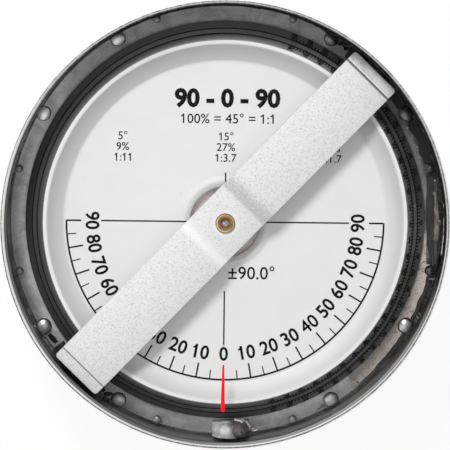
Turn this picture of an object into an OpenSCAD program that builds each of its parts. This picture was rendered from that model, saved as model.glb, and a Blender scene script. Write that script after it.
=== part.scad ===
// Liquid-damped clinometer capsule in a round aluminium case.
// The instrument lies on its back: +Z points out of the dial, -Y is where the zero of the card
// rests, and +X is where the eye looks in at the small scale on the edge of the card.

/* [Case] */
// Outer diameter of the aluminium case
case_d = 45; // [44.6:0.2:50]
// Height of the case, from the back face to the rim
case_h = 11.5; // [11.3:0.1:14]
// Thickness of the case wall
case_wall = 0.35; // [0.25:0.05:0.5]
// Thickness of the case floor
case_floor = 0.8; // [0.5:0.1:1.2]
// Chamfer round the back edge of the case
back_chamfer = 0.6; // [0.3:0.05:0.65]
// Chamfer on the outer edge of the rim
rim_chamfer_out = 0.12; // [0.05:0.01:0.16]
// Chamfer on the inner edge of the rim
rim_chamfer_in = 0.08; // [0.02:0.01:0.1]

/* [Capsule] */
// Thickness of the clear skirt of the capsule cover
skirt_wall = 0.35; // [0.25:0.05:0.45]
// Thickness of the clear front window
window_t = 1.5; // [1:0.1:1.7]
// Depth of the front window below the rim
rim_recess = 0.5; // [0.3:0.1:0.7]
// Chamfer round the front window
window_chamfer = 0.15; // [0.05:0.05:0.3]
// How far the window seal reaches in over the front window
seal_reach = 0.14; // [0.05:0.01:0.3]
// Height of the window seal at the case wall
seal_rise = 0.16; // [0.05:0.01:0.2]

/* [Base plate] */
// Thickness of the base plate of the capsule
plate_t = 1.2; // [1:0.1:1.5]
// Height of the ring that the base plate stands on
stand_h = 1.5; // [1.4:0.1:1.8]
// Width of the ring that the base plate stands on
stand_w = 1; // [0.6:0.1:2]
// Number of vent holes from the card chamber to the diaphragm
vent_count = 4; // [3:1:6]
// Diameter of a vent hole
vent_d = 1.2; // [0.8:0.1:1.6]
// Radius of the circle that the vent holes lie on
vent_ring_r = 5; // [4:0.5:6.5]

/* [Pegs] */
// Diameter of a large peg
peg_d = 1.36; // [1:0.02:1.4]
// Height of a large peg above the base plate
peg_h = 0.6; // [0.4:0.05:0.8]
// Height of the domed end of a peg
peg_dome = 0.2; // [0.1:0.02:0.3]
// Gap between the skirt's outer face and the edge of a large peg
peg_inset = 0.12; // [0.1:0.02:0.3]
// Width of the ring-shaped recess round a large peg
moat_w = 0.11; // [0.06:0.01:0.12]
// Depth of the ring-shaped recess round a large peg
moat_depth = 0.15; // [0.05:0.05:0.3]
// Diameter of a small peg
small_peg_d = 0.8; // [0.6:0.05:0.9]
// Gap between the skirt's outer face and the edge of a small peg
small_peg_inset = 0.23; // [0.15:0.01:0.4]
// Depth of the peg holes in the base plate
peg_depth = 0.6; // [0.4:0.1:0.8]
// Angle between the two large pegs of a quarter
peg_pair_angle = 29; // [26:0.5:32]
// Gap between the sight frame and the small pegs beside it
peg_frame_gap = 0.29; // [0.2:0.01:0.5]
// Angle between the Y axis and the small pegs nearest to it
small_peg_angle = 18.7; // [16:0.1:22]

/* [Card] */
// Width of the channel between the card and the skirt
channel_w = 1.56; // [1.5:0.01:1.9]
// Gap between the base plate and the bottom edge of the scale ring
ring_gap = 0.5; // [0.4:0.05:0.8]
// How far the scale ring steps in from its bottom to its top
ring_step = 1.72; // [1.4:0.01:2.2]
// Radial thickness of the scale ring
ring_wall = 0.65; // [0.4:0.05:0.8]
// Width of the flat white lip at the top of the dial card
lip_w = 0.39; // [0.2:0.01:0.5]
// Thickness of the lip over the scale ring
lip_t = 0.1; // [0.05:0.01:0.2]
// How far the lip sits inside the top of the scale ring
lip_inset = 0.1; // [0.05:0.01:0.2]
// Radial width of the slope between the lip and the dial face
slope_w = 1.68; // [1:0.01:2]
// Depth of the dial face below the lip
dish_depth = 0.6; // [0.4:0.05:0.9]
// Thickness of the dial card
card_t = 0.8; // [0.6:0.05:0.9]
// Diameter of the hole in the middle of the dial card
hub_hole_d = 7.15; // [6:0.05:7.8]
// Width of the raised ring round the hub hole
bead_w = 1.2; // [0.6:0.05:1.4]
// Height of the raised ring round the hub hole
bead_h = 0.15; // [0.1:0.05:0.4]
// Angle at which the card has come to rest
card_rest_angle = -0.65; // [-5:0.05:5]

/* [Hub and weight] */
// Diameter of the hub flange under the dial card
flange_d = 8.6; // [8.2:0.1:11]
// Thickness of the hub flange
flange_t = 0.3; // [0.2:0.05:0.5]
// Diameter of the hub body
hub_d = 2.8; // [2:0.1:3.6]
// Gap between the hub and the rear bearing
hub_gap = 0.15; // [0.1:0.01:0.4]
// How far the hub body reaches above the flange
hub_rise = 0.7; // [0.4:0.1:1]
// Gap between the counterweight and the edge of the dial face
weight_inset = 0.25; // [0.1:0.05:1]
// Radial width of the counterweight
weight_w = 7; // [4:0.5:8]
// Thickness of the counterweight
weight_t = 1; // [0.6:0.1:1.3]
// Half of the angle that the counterweight spans
weight_half_angle = 35; // [20:1:50]

/* [Marks] */
// Gap between the arc of the scale and the edge of the dial face
arc_inset = 0.3; // [0.15:0.01:0.5]
// Width of the arc line
arc_line_w = 0.18; // [0.1:0.01:0.25]
// Length of a ten-degree tick
major_len = 1.48; // [1.2:0.02:1.8]
// Width of a ten-degree tick
major_w = 0.16; // [0.1:0.01:0.2]
// Length of a five-degree tick
minor_len = 0.92; // [0.6:0.02:1.1]
// Width of a five-degree tick
minor_w = 0.11; // [0.06:0.01:0.15]
// Width of the cross lines
cross_line_w = 0.14; // [0.08:0.01:0.2]
// Gap between the arc and the outer end of the cross lines, where the numbers stand
cross_gap = 3.5; // [3:0.1:4.5]
// Inner end of the lower cross line
cross_low_r = 7; // [6:0.1:9]
// Length of the short upper cross line past the raised ring
cross_top_len = 0.2; // [0.1:0.05:1]
// Thickness of the printed marks
print_t = 0.02; // [0.01:0.005:0.05]

/* [Bearings] */
// Diameter of the axle
axle_d = 1; // [0.8:0.05:1.2]
// Diameter of the pivot at each end of the axle
pivot_d = 0.44; // [0.3:0.02:0.5]
// Slope of the pivot tips, radius over height
tip_slope = 0.7; // [0.5:0.05:0.75]
// Free play at each pivot tip
end_play = 0.04; // [0.02:0.01:0.08]
// Diameter of the brass bearing screw in the bridge
screw_d = 1.94; // [1.7:0.02:2.2]
// How far the bearing screw stands above the recess in the bridge
screw_proud = 0.2; // [0.1:0.05:0.4]
// How far the bearing screw reaches below the bridge
screw_reach = 0.4; // [0.3:0.05:0.6]
// Diameter of the bore in the bearing screw
screw_bore_d = 0.9; // [0.7:0.02:1.1]
// Depth of the countersink in the bearing screw
sink_depth = 0.45; // [0.3:0.05:0.6]
// Diameter of the countersink in the bearing screw
sink_d = 1.6; // [1.2:0.05:1.65]
// Thickness of the front jewel
front_jewel_t = 0.6; // [0.5:0.05:0.8]
// Diameter of the rear bearing cup
cup_d = 3; // [2.4:0.1:3.6]
// How far the rear bearing cup stands above the base plate
cup_rise = 0.6; // [0.4:0.05:0.7]
// Diameter of the rear jewel
rear_jewel_d = 1.4; // [1:0.05:1.6]
// Thickness of the rear jewel
rear_jewel_t = 0.7; // [0.6:0.05:0.9]
// Depth of the jewels below the ends of their settings
jewel_inset = 0.1; // [0.05:0.01:0.15]
// Radius of the pit in a jewel
pit_r = 0.3; // [0.25:0.01:0.35]
// Depth of the pit in a jewel
pit_depth = 0.32; // [0.28:0.01:0.36]
// Wall of the boss round the rear bearing cup
boss_wall = 0.8; // [0.5:0.1:1.2]
// How far the boss reaches below the base plate
boss_drop = 0.6; // [0.4:0.05:0.65]
// Thickness of the boss under the rear bearing cup
boss_floor = 0.4; // [0.3:0.05:0.5]

/* [Bridge] */
// Width of the bridge
bridge_w = 5.72; // [4.5:0.01:6]
// Thickness of the bridge
bridge_t = 0.8; // [0.6:0.05:1]
// Angle of the bridge from the +X axis
bridge_angle = 45.4; // [40:0.1:50]
// Gap between the end of the bridge and the skirt
bridge_end_gap = 0.38; // [0.3:0.01:0.6]
// Depth of the recess in the middle of the bridge
bridge_drop = 0.5; // [0.3:0.05:0.6]
// Half length of the flat middle of the recess
recess_flat = 2.5; // [2:0.1:4]
// Length of the slopes at the ends of the recess
recess_slope = 1.1; // [1:0.1:3]
// Corner radius of the bridge, seen from above
bridge_corner = 0.35; // [0.3:0.05:0.8]
// Radius of the rounded top edge at each end
end_round = 0.4; // [0.2:0.05:0.5]
// Length of the foot at each end, outside the groove
foot_len = 1.09; // [0.8:0.01:1.5]
// Width of the groove at each foot
groove_w = 0.12; // [0.05:0.01:0.2]
// Depth of the groove at each foot
groove_depth = 0.1; // [0.05:0.01:0.2]
// Chamfer along the edges of the bridge
bridge_chamfer = 0.07; // [0.03:0.01:0.12]
// Gap between the bridge and the front window
window_gap = 0.5; // [0.3:0.05:1]
// Gap between the bridge and the lip of the dial card
card_gap = 1; // [0.8:0.05:1.4]
// Half of the angle that a post spans
post_half_angle = 8.5; // [7.5:0.1:10]

/* [Sight] */
// Width of the sight opening
sight_w = 7; // [5:0.1:7.6]
// Height of the sight opening
sight_h = 3.8; // [2.5:0.1:4]
// Height of the sill under the sight opening
sill_h = 0.4; // [0.2:0.05:0.6]
// Height of the sight frame above the opening
lintel_h = 0.4; // [0.2:0.05:0.6]
// Width of the sight frame
frame_w = 9; // [8.6:0.05:9.3]
// Thickness of the sight frame
frame_t = 0.5; // [0.4:0.05:0.6]
// Thickness of the clear sight plate
sight_t = 0.3; // [0.2:0.05:0.35]
// How far the sight plate reaches past each side of the opening
sight_lap = 0.7; // [0.3:0.05:0.9]
// How far the sight plate reaches past the top and bottom of the opening
sight_lap_z = 0.3; // [0.1:0.05:0.35]
// Diameter of the sighting hair
hair_d = 0.06; // [0.04:0.01:0.1]
// Length of the end of the hair that is bent over the frame
hair_bend = 0.7; // [0.3:0.05:0.9]
// Thickness of the light pad that brightens the scale
pad_t = 0.2; // [0.1:0.02:0.25]
// Gap between the light pad and the skirt
pad_gap = 0.25; // [0.22:0.01:0.5]
// How far the light pad reaches in under the scale ring
pad_under = 0.5; // [0.2:0.05:1]
// Angle at which the light pad starts
pad_start_angle = -52; // [-56:1:-40]
// Angle at which the light pad ends
pad_end_angle = -4; // [-8:1:-2]

/* [Fill port] */
// Width of the block that holds the fill port
port_w = 3.75; // [3:0.05:4.5]
// Sideways offset of the middle of the block
port_x = 0.58; // [0:0.02:1]
// Height of the block
port_h = 1.3; // [1:0.05:1.6]
// Diameter of the sealing ball
ball_d = 1.44; // [1.2:0.02:1.5]
// Sideways offset of the ball from the middle of the block
ball_dx = 0.67; // [0.3:0.01:0.8]
// Diameter of the fill hole through the skirt
fill_hole_d = 0.9; // [0.6:0.05:1]

/* [Sealant] */
// Width of the line of sealant at the foot of the skirt
sealant_w = 0.18; // [0.1:0.01:0.2]
// Height of the line of sealant
sealant_h = 0.6; // [0.3:0.05:0.8]

/* [Index] */
// How far the index line reaches in past the arc of the scale
index_back = 1.63; // [1:0.01:2.5]
// How far the index line reaches out past the lip of the dial card
index_reach = 0.6; // [0.3:0.01:1.2]
// Width of the index line at its inner end
index_w_in = 0.2; // [0.1:0.01:0.3]
// Width of the index line at its outer end
index_w_out = 0.44; // [0.3:0.01:0.6]
// Thickness of the index line
index_t = 0.03; // [0.02:0.01:0.05]
// Angle of the index line from the +X axis
index_angle = 269.2; // [268:0.1:272]

/* [Diaphragm] */
// Gap between the expansion diaphragm and the ring that the plate stands on
diaphragm_gap = 1; // [0.5:0.1:4]
// Thickness of the expansion diaphragm
diaphragm_t = 0.3; // [0.2:0.05:0.4]
// Width of the ring that carries the diaphragm
diaphragm_ring_w = 1.4; // [1:0.1:2]
// Height of the ring that carries the diaphragm
diaphragm_ring_h = 0.7; // [0.7:0.05:0.85]

/* [Fits] */
// Gap between the capsule and the case wall
capsule_gap = 0.05; // [0.02:0.01:0.1]
// Radial gap round a pressed-in piece
press_gap = 0.01; // [0.005:0.005:0.02]
// Gap round a piece that is glued in place
glue_gap = 0.02; // [0.01:0.005:0.04]
// Gap round a piece that another one is notched for
notch_gap = 0.06; // [0.04:0.01:0.1]
// Gap between the card and the fixed pieces beside it
running_gap = 0.31; // [0.25:0.01:0.35]

/* [Hidden] */
$fn = 96;

// How far a cutting shape runs past the faces that it cuts
cut = 1;
// Radii of the case and the capsule
case_r = case_d / 2;
case_r_in = case_r - case_wall;
capsule_r = case_r_in - capsule_gap;
skirt_r_in = capsule_r - skirt_wall;
peg_r = peg_d / 2;
peg_ring_r = capsule_r - peg_inset - peg_r;
small_peg_r = small_peg_d / 2;
small_peg_ring_r = capsule_r - small_peg_inset - small_peg_r;

// Angles of the large and small pegs round the base plate, the same in each quarter
peg_angles = in_each_quarter([45 - peg_pair_angle / 2, 45 + peg_pair_angle / 2]);
frame_peg_angle = asin((frame_w / 2 + peg_frame_gap + small_peg_r) / small_peg_ring_r);
small_peg_angles = in_each_quarter([frame_peg_angle, 90 - small_peg_angle]);

// Heights of the fixed pieces
plate_z = case_floor + stand_h;
deck_z = plate_z + plate_t;
window_top_z = case_h - rim_recess;
window_z = window_top_z - window_t;
bridge_top_z = window_z - window_gap;
bridge_z = bridge_top_z - bridge_t;
post_h = bridge_z - deck_z;

// Radii and heights of the card
ring_r_low = skirt_r_in - channel_w;
ring_r_top = ring_r_low - ring_step;
ring_z = deck_z + ring_gap;
lip_top_z = bridge_z - card_gap;
ring_top_z = lip_top_z - lip_t;
ring_h = ring_top_z - ring_z;
lip_r_out = ring_r_top - lip_inset;
lip_r_in = lip_r_out - lip_w;
face_r = lip_r_in - slope_w;
face_z = lip_top_z - dish_depth;
card_z = face_z - card_t;
hub_hole_r = hub_hole_d / 2;
arc_r = face_r - arc_inset;
cross_r_out = arc_r - cross_gap;
weight_r_out = face_r - weight_inset;
index_r_in = arc_r - index_back;
index_r_out = lip_r_out + index_reach;
bead_r_out = hub_hole_r + bead_w;

// Bridge, channel beside the card and front bearing
bridge_half = skirt_r_in - bridge_end_gap;
channel_r_in = ring_r_low + running_gap;
channel_r_out = skirt_r_in - glue_gap;
screw_top_z = bridge_top_z - bridge_drop + screw_proud;
screw_z = bridge_z - bridge_drop - screw_reach;
front_jewel_z = screw_z + jewel_inset;
screw_bore_r = screw_bore_d / 2;

// Rear bearing
boss_z = plate_z - boss_drop;
cup_z = boss_z + boss_floor;
cup_top_z = deck_z + cup_rise;
rear_jewel_top_z = cup_top_z - jewel_inset;
cup_bore_r = rear_jewel_d / 2;

// Axle and hub
axle_r = axle_d / 2;
pivot_r = pivot_d / 2;
tip_h = pivot_r / tip_slope;
tip_low_z = rear_jewel_top_z - pit_depth + end_play;
tip_high_z = front_jewel_z + pit_depth - end_play;
shoulder_gap = 0.15;
flange_z = card_z - flange_t;
hub_z = cup_top_z + hub_gap;

// Sight, fill port and diaphragm
sight_z = deck_z + sill_h;
frame_top_z = sight_z + sight_h + lintel_h;
ball_r = ball_d / 2;
ball_x = port_x + ball_dx;
ball_ring_r = channel_r_out - ball_r - glue_gap;
ball_z = deck_z + port_h;
diaphragm_r = capsule_r - stand_w - diaphragm_gap;
diaphragm_ring_z = plate_z - diaphragm_ring_h;
diaphragm_z = diaphragm_ring_z - diaphragm_t;

// The angles of the first quarter, mirrored into all four
function in_each_quarter(angles) =
  [for (a = angles, mirrored = [a, 180 - a, 180 + a, 360 - a]) mirrored];

// Outer radius of the scale ring at a height
function ring_r_at(z) = ring_r_low - ring_step * (z - ring_z) / ring_h;

// Points of an arc, from one angle to another
function arc_points(x, y, r, from, to, steps) =
  [for (i = [0 : steps]) let (a = from + (to - from) * i / steps) [x + r * cos(a), y + r * sin(a)]];

// A ring standing on z, of a given height
module ring(r_in, r_out, h) {
  difference() {
    cylinder(r = r_out, h = h);
    translate([0, 0, -cut]) cylinder(r = r_in, h = h + 2 * cut);
  }
}

// A piece of a ring, from one angle to another
module ring_sector(r_in, r_out, h, from, to) {
  rotate([0, 0, from])
    rotate_extrude(angle = to - from)
      translate([r_in, 0]) square([r_out - r_in, h]);
}

// One copy of the children at each angle, on a circle
module around(angles, r) {
  for (a = angles) rotate([0, 0, a]) translate([r, 0, 0]) children();
}

// A pin with a domed end, standing on z
module domed_peg(r, h) {
  dome_r = (r * r + peg_dome * peg_dome) / (2 * peg_dome);
  intersection() {
    cylinder(r = r, h = h);
    translate([0, 0, h - dome_r]) sphere(r = dome_r);
  }
}

// Room for the pegs, wider than each by a gap
module peg_room(gap, z, h) {
  translate([0, 0, z]) {
    around(peg_angles, peg_ring_r) cylinder(r = peg_r + gap, h = h);
    around(small_peg_angles, small_peg_ring_r) cylinder(r = small_peg_r + gap, h = h);
  }
}

// Footprint of a flat piece across the channel at the sight, with a gap round it
module sight_room(x, t, w, gap, z, h) {
  translate([x - gap, -w / 2 - gap, z]) cube([t + 2 * gap, w + 2 * gap, h]);
}

// Footprint of the sight frame and its plate together, with a gap round it
module frame_room(gap, z, h) {
  sight_room(channel_r_in, frame_t + glue_gap + sight_t, frame_w, gap, z, h);
}

// Footprint of the fill port's block, with a gap round it
module port_room(gap, z, h) {
  translate([port_x - port_w / 2 - gap, -skirt_r_in - cut, z])
    cube([port_w + 2 * gap, channel_w + cut, h]);
}

// A round hole along Y at the fill port
module port_bore(r, from, to) {
  translate([ball_x, -from, ball_z]) rotate([90, 0, 0]) cylinder(r = r, h = to - from);
}

// Aluminium cup, with a slot in its wall where the eye looks in
module case_cup() {
  color("gainsboro")
    difference() {
      rotate_extrude()
        polygon([
          [0, 0], [case_r - back_chamfer, 0], [case_r, back_chamfer],
          [case_r, case_h - rim_chamfer_out], [case_r - rim_chamfer_out, case_h],
          [case_r_in + rim_chamfer_in, case_h], [case_r_in, case_h - rim_chamfer_in],
          [case_r_in, case_floor], [0, case_floor]
        ]);
      translate([case_r_in - cut, -sight_w / 2, sight_z]) cube([case_wall + 2 * cut, sight_w, sight_h]);
    }
}

// Clear front window and skirt in one piece, notched for the pegs and drilled for filling
module capsule_cover() {
  color("aliceblue", 0.3)
    difference() {
      rotate_extrude()
        polygon([
          [0, window_z], [skirt_r_in, window_z], [skirt_r_in, deck_z], [capsule_r, deck_z],
          [capsule_r, window_top_z - window_chamfer], [capsule_r - window_chamfer, window_top_z],
          [0, window_top_z]
        ]);
      peg_room(notch_gap, deck_z - cut, peg_h + notch_gap + cut);
      port_bore(fill_hole_d / 2, channel_r_in, capsule_r + cut);
    }
}

// Black bead that seals the edge of the front window to the case wall
module window_seal() {
  seal_r = case_r_in - glue_gap;
  color("#141414")
    rotate_extrude()
      polygon([
        [capsule_r - window_chamfer - seal_reach, window_top_z],
        [capsule_r - window_chamfer, window_top_z], [capsule_r, window_top_z - window_chamfer],
        [seal_r, window_top_z - window_chamfer], [seal_r, window_top_z + seal_rise]
      ]);
}

// Dark plate that closes the back of the capsule and holds the rear bearing
module base_plate() {
  color("dimgray")
    difference() {
      union() {
        translate([0, 0, plate_z]) cylinder(r = capsule_r, h = plate_t);
        translate([0, 0, case_floor]) ring(capsule_r - stand_w, capsule_r, stand_h);
        translate([0, 0, boss_z]) cylinder(r = cup_d / 2 + boss_wall, h = boss_drop);
      }
      translate([0, 0, cup_z]) cylinder(r = cup_d / 2 + press_gap, h = deck_z - cup_z + cut);
      around([for (i = [0 : vent_count - 1]) i * 360 / vent_count], vent_ring_r)
        translate([0, 0, plate_z - cut]) cylinder(d = vent_d, h = plate_t + 2 * cut);
      peg_room(press_gap, deck_z - peg_depth, peg_depth + cut);
      around(peg_angles, peg_ring_r)
        translate([0, 0, deck_z - moat_depth]) cylinder(r = peg_r + moat_w, h = moat_depth + cut);
    }
}

// Large pegs that key the capsule cover to the base plate
module locating_pegs() {
  color("silver")
    translate([0, 0, deck_z - peg_depth])
      around(peg_angles, peg_ring_r) domed_peg(peg_r, peg_depth + peg_h);
}

// Small pegs between the large ones
module small_pegs() {
  color("silver")
    translate([0, 0, deck_z - peg_depth])
      around(small_peg_angles, small_peg_ring_r) domed_peg(small_peg_r, peg_depth + peg_h);
}

// Side view of the bridge: a strip with a dished middle, grooved feet and rounded ends
function bridge_side() =
  let (
    top = bridge_top_z, low = bridge_z, u1 = recess_flat, u2 = recess_flat + recess_slope,
    g = bridge_half - foot_len
  )
  concat(
    arc_points(-bridge_half + end_round, top - end_round, end_round, 180, 90, 5),
    [
      [-g - groove_w, top], [-g - groove_w, top - groove_depth], [-g, top - groove_depth], [-g, top],
      [-u2, top], [-u1, top - bridge_drop], [u1, top - bridge_drop], [u2, top],
      [g, top], [g, top - groove_depth], [g + groove_w, top - groove_depth], [g + groove_w, top]
    ],
    arc_points(bridge_half - end_round, top - end_round, end_round, 90, 0, 5),
    [
      [bridge_half, low], [u2, low], [u1, low - bridge_drop], [-u1, low - bridge_drop],
      [-u2, low], [-bridge_half, low]
    ]
  );

// A bar that cuts the chamfer along one edge of the bridge
module bridge_edge_bar(side, z, half_len) {
  bar = bridge_chamfer * sqrt(2);
  translate([0, side * bridge_w / 2, z]) rotate([45, 0, 0]) cube([2 * half_len, bar, bar], center = true);
}

// Aluminium strap across the capsule that carries the front bearing
module bridge() {
  corner_u = bridge_half - bridge_corner;
  corner_v = bridge_w / 2 - bridge_corner;
  color("gainsboro")
    rotate([0, 0, bridge_angle])
      difference() {
        intersection() {
          rotate([90, 0, 0]) linear_extrude(height = bridge_w, center = true) polygon(bridge_side());
          translate([0, 0, bridge_z - bridge_drop - cut])
            linear_extrude(height = bridge_drop + bridge_t + 2 * cut) {
              square([2 * bridge_half, 2 * corner_v], center = true);
              square([2 * corner_u, bridge_w], center = true);
              for (u = [-corner_u, corner_u], v = [-corner_v, corner_v])
                translate([u, v]) circle(r = bridge_corner);
            }
        }
        translate([0, 0, bridge_z - bridge_drop - cut])
          cylinder(r = screw_d / 2 + press_gap, h = bridge_t + 2 * cut);
        for (side = [-1, 1]) {
          bridge_edge_bar(side, bridge_top_z, bridge_half + cut);
          bridge_edge_bar(side, bridge_top_z - bridge_drop, recess_flat);
        }
      }
}

// Black block that carries one end of the bridge
module bridge_post(angle) {
  color("#161616")
    translate([0, 0, deck_z])
      ring_sector(channel_r_in, channel_r_out, post_h, angle - post_half_angle, angle + post_half_angle);
}

module bridge_post_ne() {
  bridge_post(bridge_angle);
}

module bridge_post_sw() {
  bridge_post(bridge_angle + 180);
}

// Brass tube in the bridge, with a countersink that shows the jewel
module front_bearing_screw() {
  color("darkgoldenrod")
    rotate_extrude()
      polygon([
        [screw_bore_r, screw_z], [screw_d / 2, screw_z], [screw_d / 2, screw_top_z],
        [sink_d / 2, screw_top_z], [screw_bore_r, screw_top_z - sink_depth]
      ]);
}

// Jewel with its pit facing down, pressed into the bearing screw
module front_jewel() {
  color("mistyrose")
    rotate_extrude()
      polygon([
        [0, front_jewel_z + pit_depth], [pit_r, front_jewel_z],
        [screw_bore_r - press_gap, front_jewel_z],
        [screw_bore_r - press_gap, front_jewel_z + front_jewel_t], [0, front_jewel_z + front_jewel_t]
      ]);
}

// Brass cup in the base plate that holds the rear jewel
module rear_bearing_cup() {
  seat_z = rear_jewel_top_z - rear_jewel_t;
  color("goldenrod")
    rotate_extrude()
      polygon([
        [0, cup_z], [cup_d / 2, cup_z], [cup_d / 2, cup_top_z], [cup_bore_r, cup_top_z],
        [cup_bore_r, seat_z], [0, seat_z]
      ]);
}

// Jewel with its pit facing up, pressed into the rear cup
module rear_jewel() {
  color("mistyrose")
    rotate_extrude()
      polygon([
        [0, rear_jewel_top_z - rear_jewel_t], [cup_bore_r - press_gap, rear_jewel_top_z - rear_jewel_t],
        [cup_bore_r - press_gap, rear_jewel_top_z], [pit_r, rear_jewel_top_z],
        [0, rear_jewel_top_z - pit_depth]
      ]);
}

// Steel axle with a pointed pivot at each end
module axle() {
  color("lightslategray")
    rotate_extrude()
      polygon([
        [0, tip_low_z], [pivot_r, tip_low_z + tip_h], [pivot_r, cup_top_z + shoulder_gap],
        [axle_r, cup_top_z + shoulder_gap], [axle_r, screw_z - shoulder_gap],
        [pivot_r, screw_z - shoulder_gap], [pivot_r, tip_high_z - tip_h], [0, tip_high_z]
      ]);
}

// Brass hub on the axle, with the flange that carries the dial card
module hub() {
  color("rosybrown")
    rotate_extrude()
      polygon([
        [axle_r + press_gap, hub_z], [hub_d / 2, hub_z], [hub_d / 2, flange_z],
        [flange_d / 2, flange_z], [flange_d / 2, card_z], [hub_d / 2, card_z],
        [hub_d / 2, card_z + hub_rise], [axle_r + press_gap, card_z + hub_rise]
      ]);
}

// Section of the raised ring round the hub hole, a smooth wave
function bead_points(steps) =
  [for (i = [0 : steps]) [
    bead_r_out - bead_w * i / steps,
    face_z + bead_h * (1 - cos(360 * i / steps)) / 2
  ]];

// White dished card that carries the main scale
module dial_card() {
  inner = ring_wall + glue_gap;
  color("white")
    rotate_extrude()
      polygon(concat(
        [
          [hub_hole_r, card_z], [ring_r_at(card_z) - inner, card_z],
          [ring_r_top - inner, ring_top_z], [lip_r_out, ring_top_z], [lip_r_out, lip_top_z],
          [lip_r_in, lip_top_z], [face_r, face_z]
        ],
        bead_points(12)
      ));
}

// Conical ring round the card that carries the small scale
module scale_ring() {
  color("#343434")
    rotate_extrude()
      polygon([
        [ring_r_low - ring_wall, ring_z], [ring_r_low, ring_z],
        [ring_r_top, ring_top_z], [ring_r_top - ring_wall, ring_top_z]
      ]);
}

// A straight printed line between two radii, at an angle
module mark_line(angle, from, to, w) {
  rotate([0, 0, angle]) translate([from, -w / 2, 0]) cube([to - from, w, print_t]);
}

// Printed arc, ticks and cross lines of the main scale
module dial_marks() {
  color("black")
    rotate([0, 0, card_rest_angle])
      translate([0, 0, face_z]) {
        ring_sector(arc_r - arc_line_w / 2, arc_r + arc_line_w / 2, print_t, 180, 360);
        for (a = [180 : 10 : 360]) mark_line(a, arc_r - major_len, arc_r, major_w);
        for (a = [185 : 10 : 355]) mark_line(a, arc_r - minor_len, arc_r, minor_w);
        for (a = [0, 180]) mark_line(a, bead_r_out, cross_r_out, cross_line_w);
        mark_line(270, cross_low_r, cross_r_out, cross_line_w);
        mark_line(90, bead_r_out, bead_r_out + cross_top_len, cross_line_w);
      }
}

// Brass weight under the card that turns the zero of the scale downhill
module counterweight() {
  color("goldenrod")
    translate([0, 0, card_z - weight_t])
      ring_sector(
        weight_r_out - weight_w, weight_r_out, weight_t,
        270 + card_rest_angle - weight_half_angle, 270 + card_rest_angle + weight_half_angle
      );
}

// Red line under the front window, against which the scale is read
module index_line() {
  end_r = index_w_out / 2;
  color("red")
    rotate([0, 0, index_angle])
      translate([0, 0, window_z - index_t])
        linear_extrude(height = index_t) {
          polygon([
            [index_r_in, -index_w_in / 2], [index_r_out - end_r, -end_r],
            [index_r_out - end_r, end_r], [index_r_in, index_w_in / 2]
          ]);
          translate([index_r_out - end_r, 0]) circle(r = end_r);
        }
}

// Black frame in the channel, open where the eye looks in
module sight_frame() {
  color("#1c1c1c")
    difference() {
      intersection() {
        sight_room(channel_r_in, frame_t, frame_w, 0, deck_z, frame_top_z - deck_z);
        cylinder(r = channel_r_out, h = frame_top_z + cut);
      }
      sight_room(channel_r_in - cut, frame_t + 2 * cut, sight_w, 0, sight_z, sight_h);
    }
}

// Clear plate glued over the opening, on the outer face of the sight frame
module sight_window() {
  color("aliceblue", 0.4)
    intersection() {
      sight_room(
        channel_r_in + frame_t + glue_gap, sight_t, sight_w + 2 * sight_lap, 0,
        sight_z - sight_lap_z, sight_h + 2 * sight_lap_z
      );
      cylinder(r = channel_r_out, h = frame_top_z + cut);
    }
}

// Sighting hair over the opening, with its upper end bent over the frame
module hairline() {
  hair_r = hair_d / 2;
  hair_x = channel_r_in - hair_r;
  color("black") {
    translate([hair_x, 0, deck_z]) cylinder(r = hair_r, h = frame_top_z + hair_r - deck_z);
    translate([hair_x, 0, frame_top_z + hair_r]) sphere(r = hair_r);
    translate([hair_x, 0, frame_top_z + hair_r]) rotate([0, 90, 0]) cylinder(r = hair_r, h = hair_bend);
  }
}

// Pale pad under the edge of the card that throws light on the small scale
module reflector_pad() {
  color("tan")
    difference() {
      translate([0, 0, deck_z])
        ring_sector(ring_r_low - pad_under, skirt_r_in - pad_gap, pad_t, pad_start_angle, pad_end_angle);
      peg_room(moat_w + notch_gap, deck_z - cut, peg_h + cut);
      frame_room(notch_gap, deck_z - cut, pad_t + 2 * cut);
    }
}

// Block in the channel with the bore that the capsule is filled through
module fill_block() {
  color("darkgray")
    difference() {
      intersection() {
        translate([0, 0, deck_z]) ring(channel_r_in, channel_r_out, port_h);
        port_room(0, deck_z, port_h);
      }
      port_bore(ball_r + glue_gap, channel_r_in - cut, capsule_r);
    }
}

// Ball that seals the fill hole
module fill_ball() {
  color("saddlebrown")
    translate([ball_x, -sqrt(ball_ring_r * ball_ring_r - ball_x * ball_x), ball_z]) sphere(r = ball_r);
}

// Dark plug in the fill hole outside the ball
module fill_plug() {
  color("#202020")
    intersection() {
      port_bore(fill_hole_d / 2 - glue_gap, channel_r_in, capsule_r);
      translate([0, 0, deck_z]) ring(skirt_r_in, capsule_r, window_z - deck_z);
    }
}

// Line of sealant between the base plate and the foot of the skirt
module sealant_line() {
  color("#101010")
    difference() {
      rotate_extrude()
        polygon([
          [channel_r_out - sealant_w, deck_z], [channel_r_out, deck_z],
          [channel_r_out, deck_z + sealant_h]
        ]);
      peg_room(moat_w + notch_gap, deck_z - cut, sealant_h + 2 * cut);
      for (a = [bridge_angle, bridge_angle + 180])
        translate([0, 0, deck_z - cut])
          ring_sector(
            channel_r_in, capsule_r, sealant_h + 2 * cut,
            a - post_half_angle - notch_gap, a + post_half_angle + notch_gap
          );
      frame_room(notch_gap, deck_z - cut, sealant_h + 2 * cut);
      port_room(notch_gap, deck_z - cut, sealant_h + 2 * cut);
    }
}

// Rubber disc behind the base plate that gives way as the liquid swells
module expansion_diaphragm() {
  color("darkslategray")
    translate([0, 0, diaphragm_z]) cylinder(r = diaphragm_r, h = diaphragm_t);
}

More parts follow.
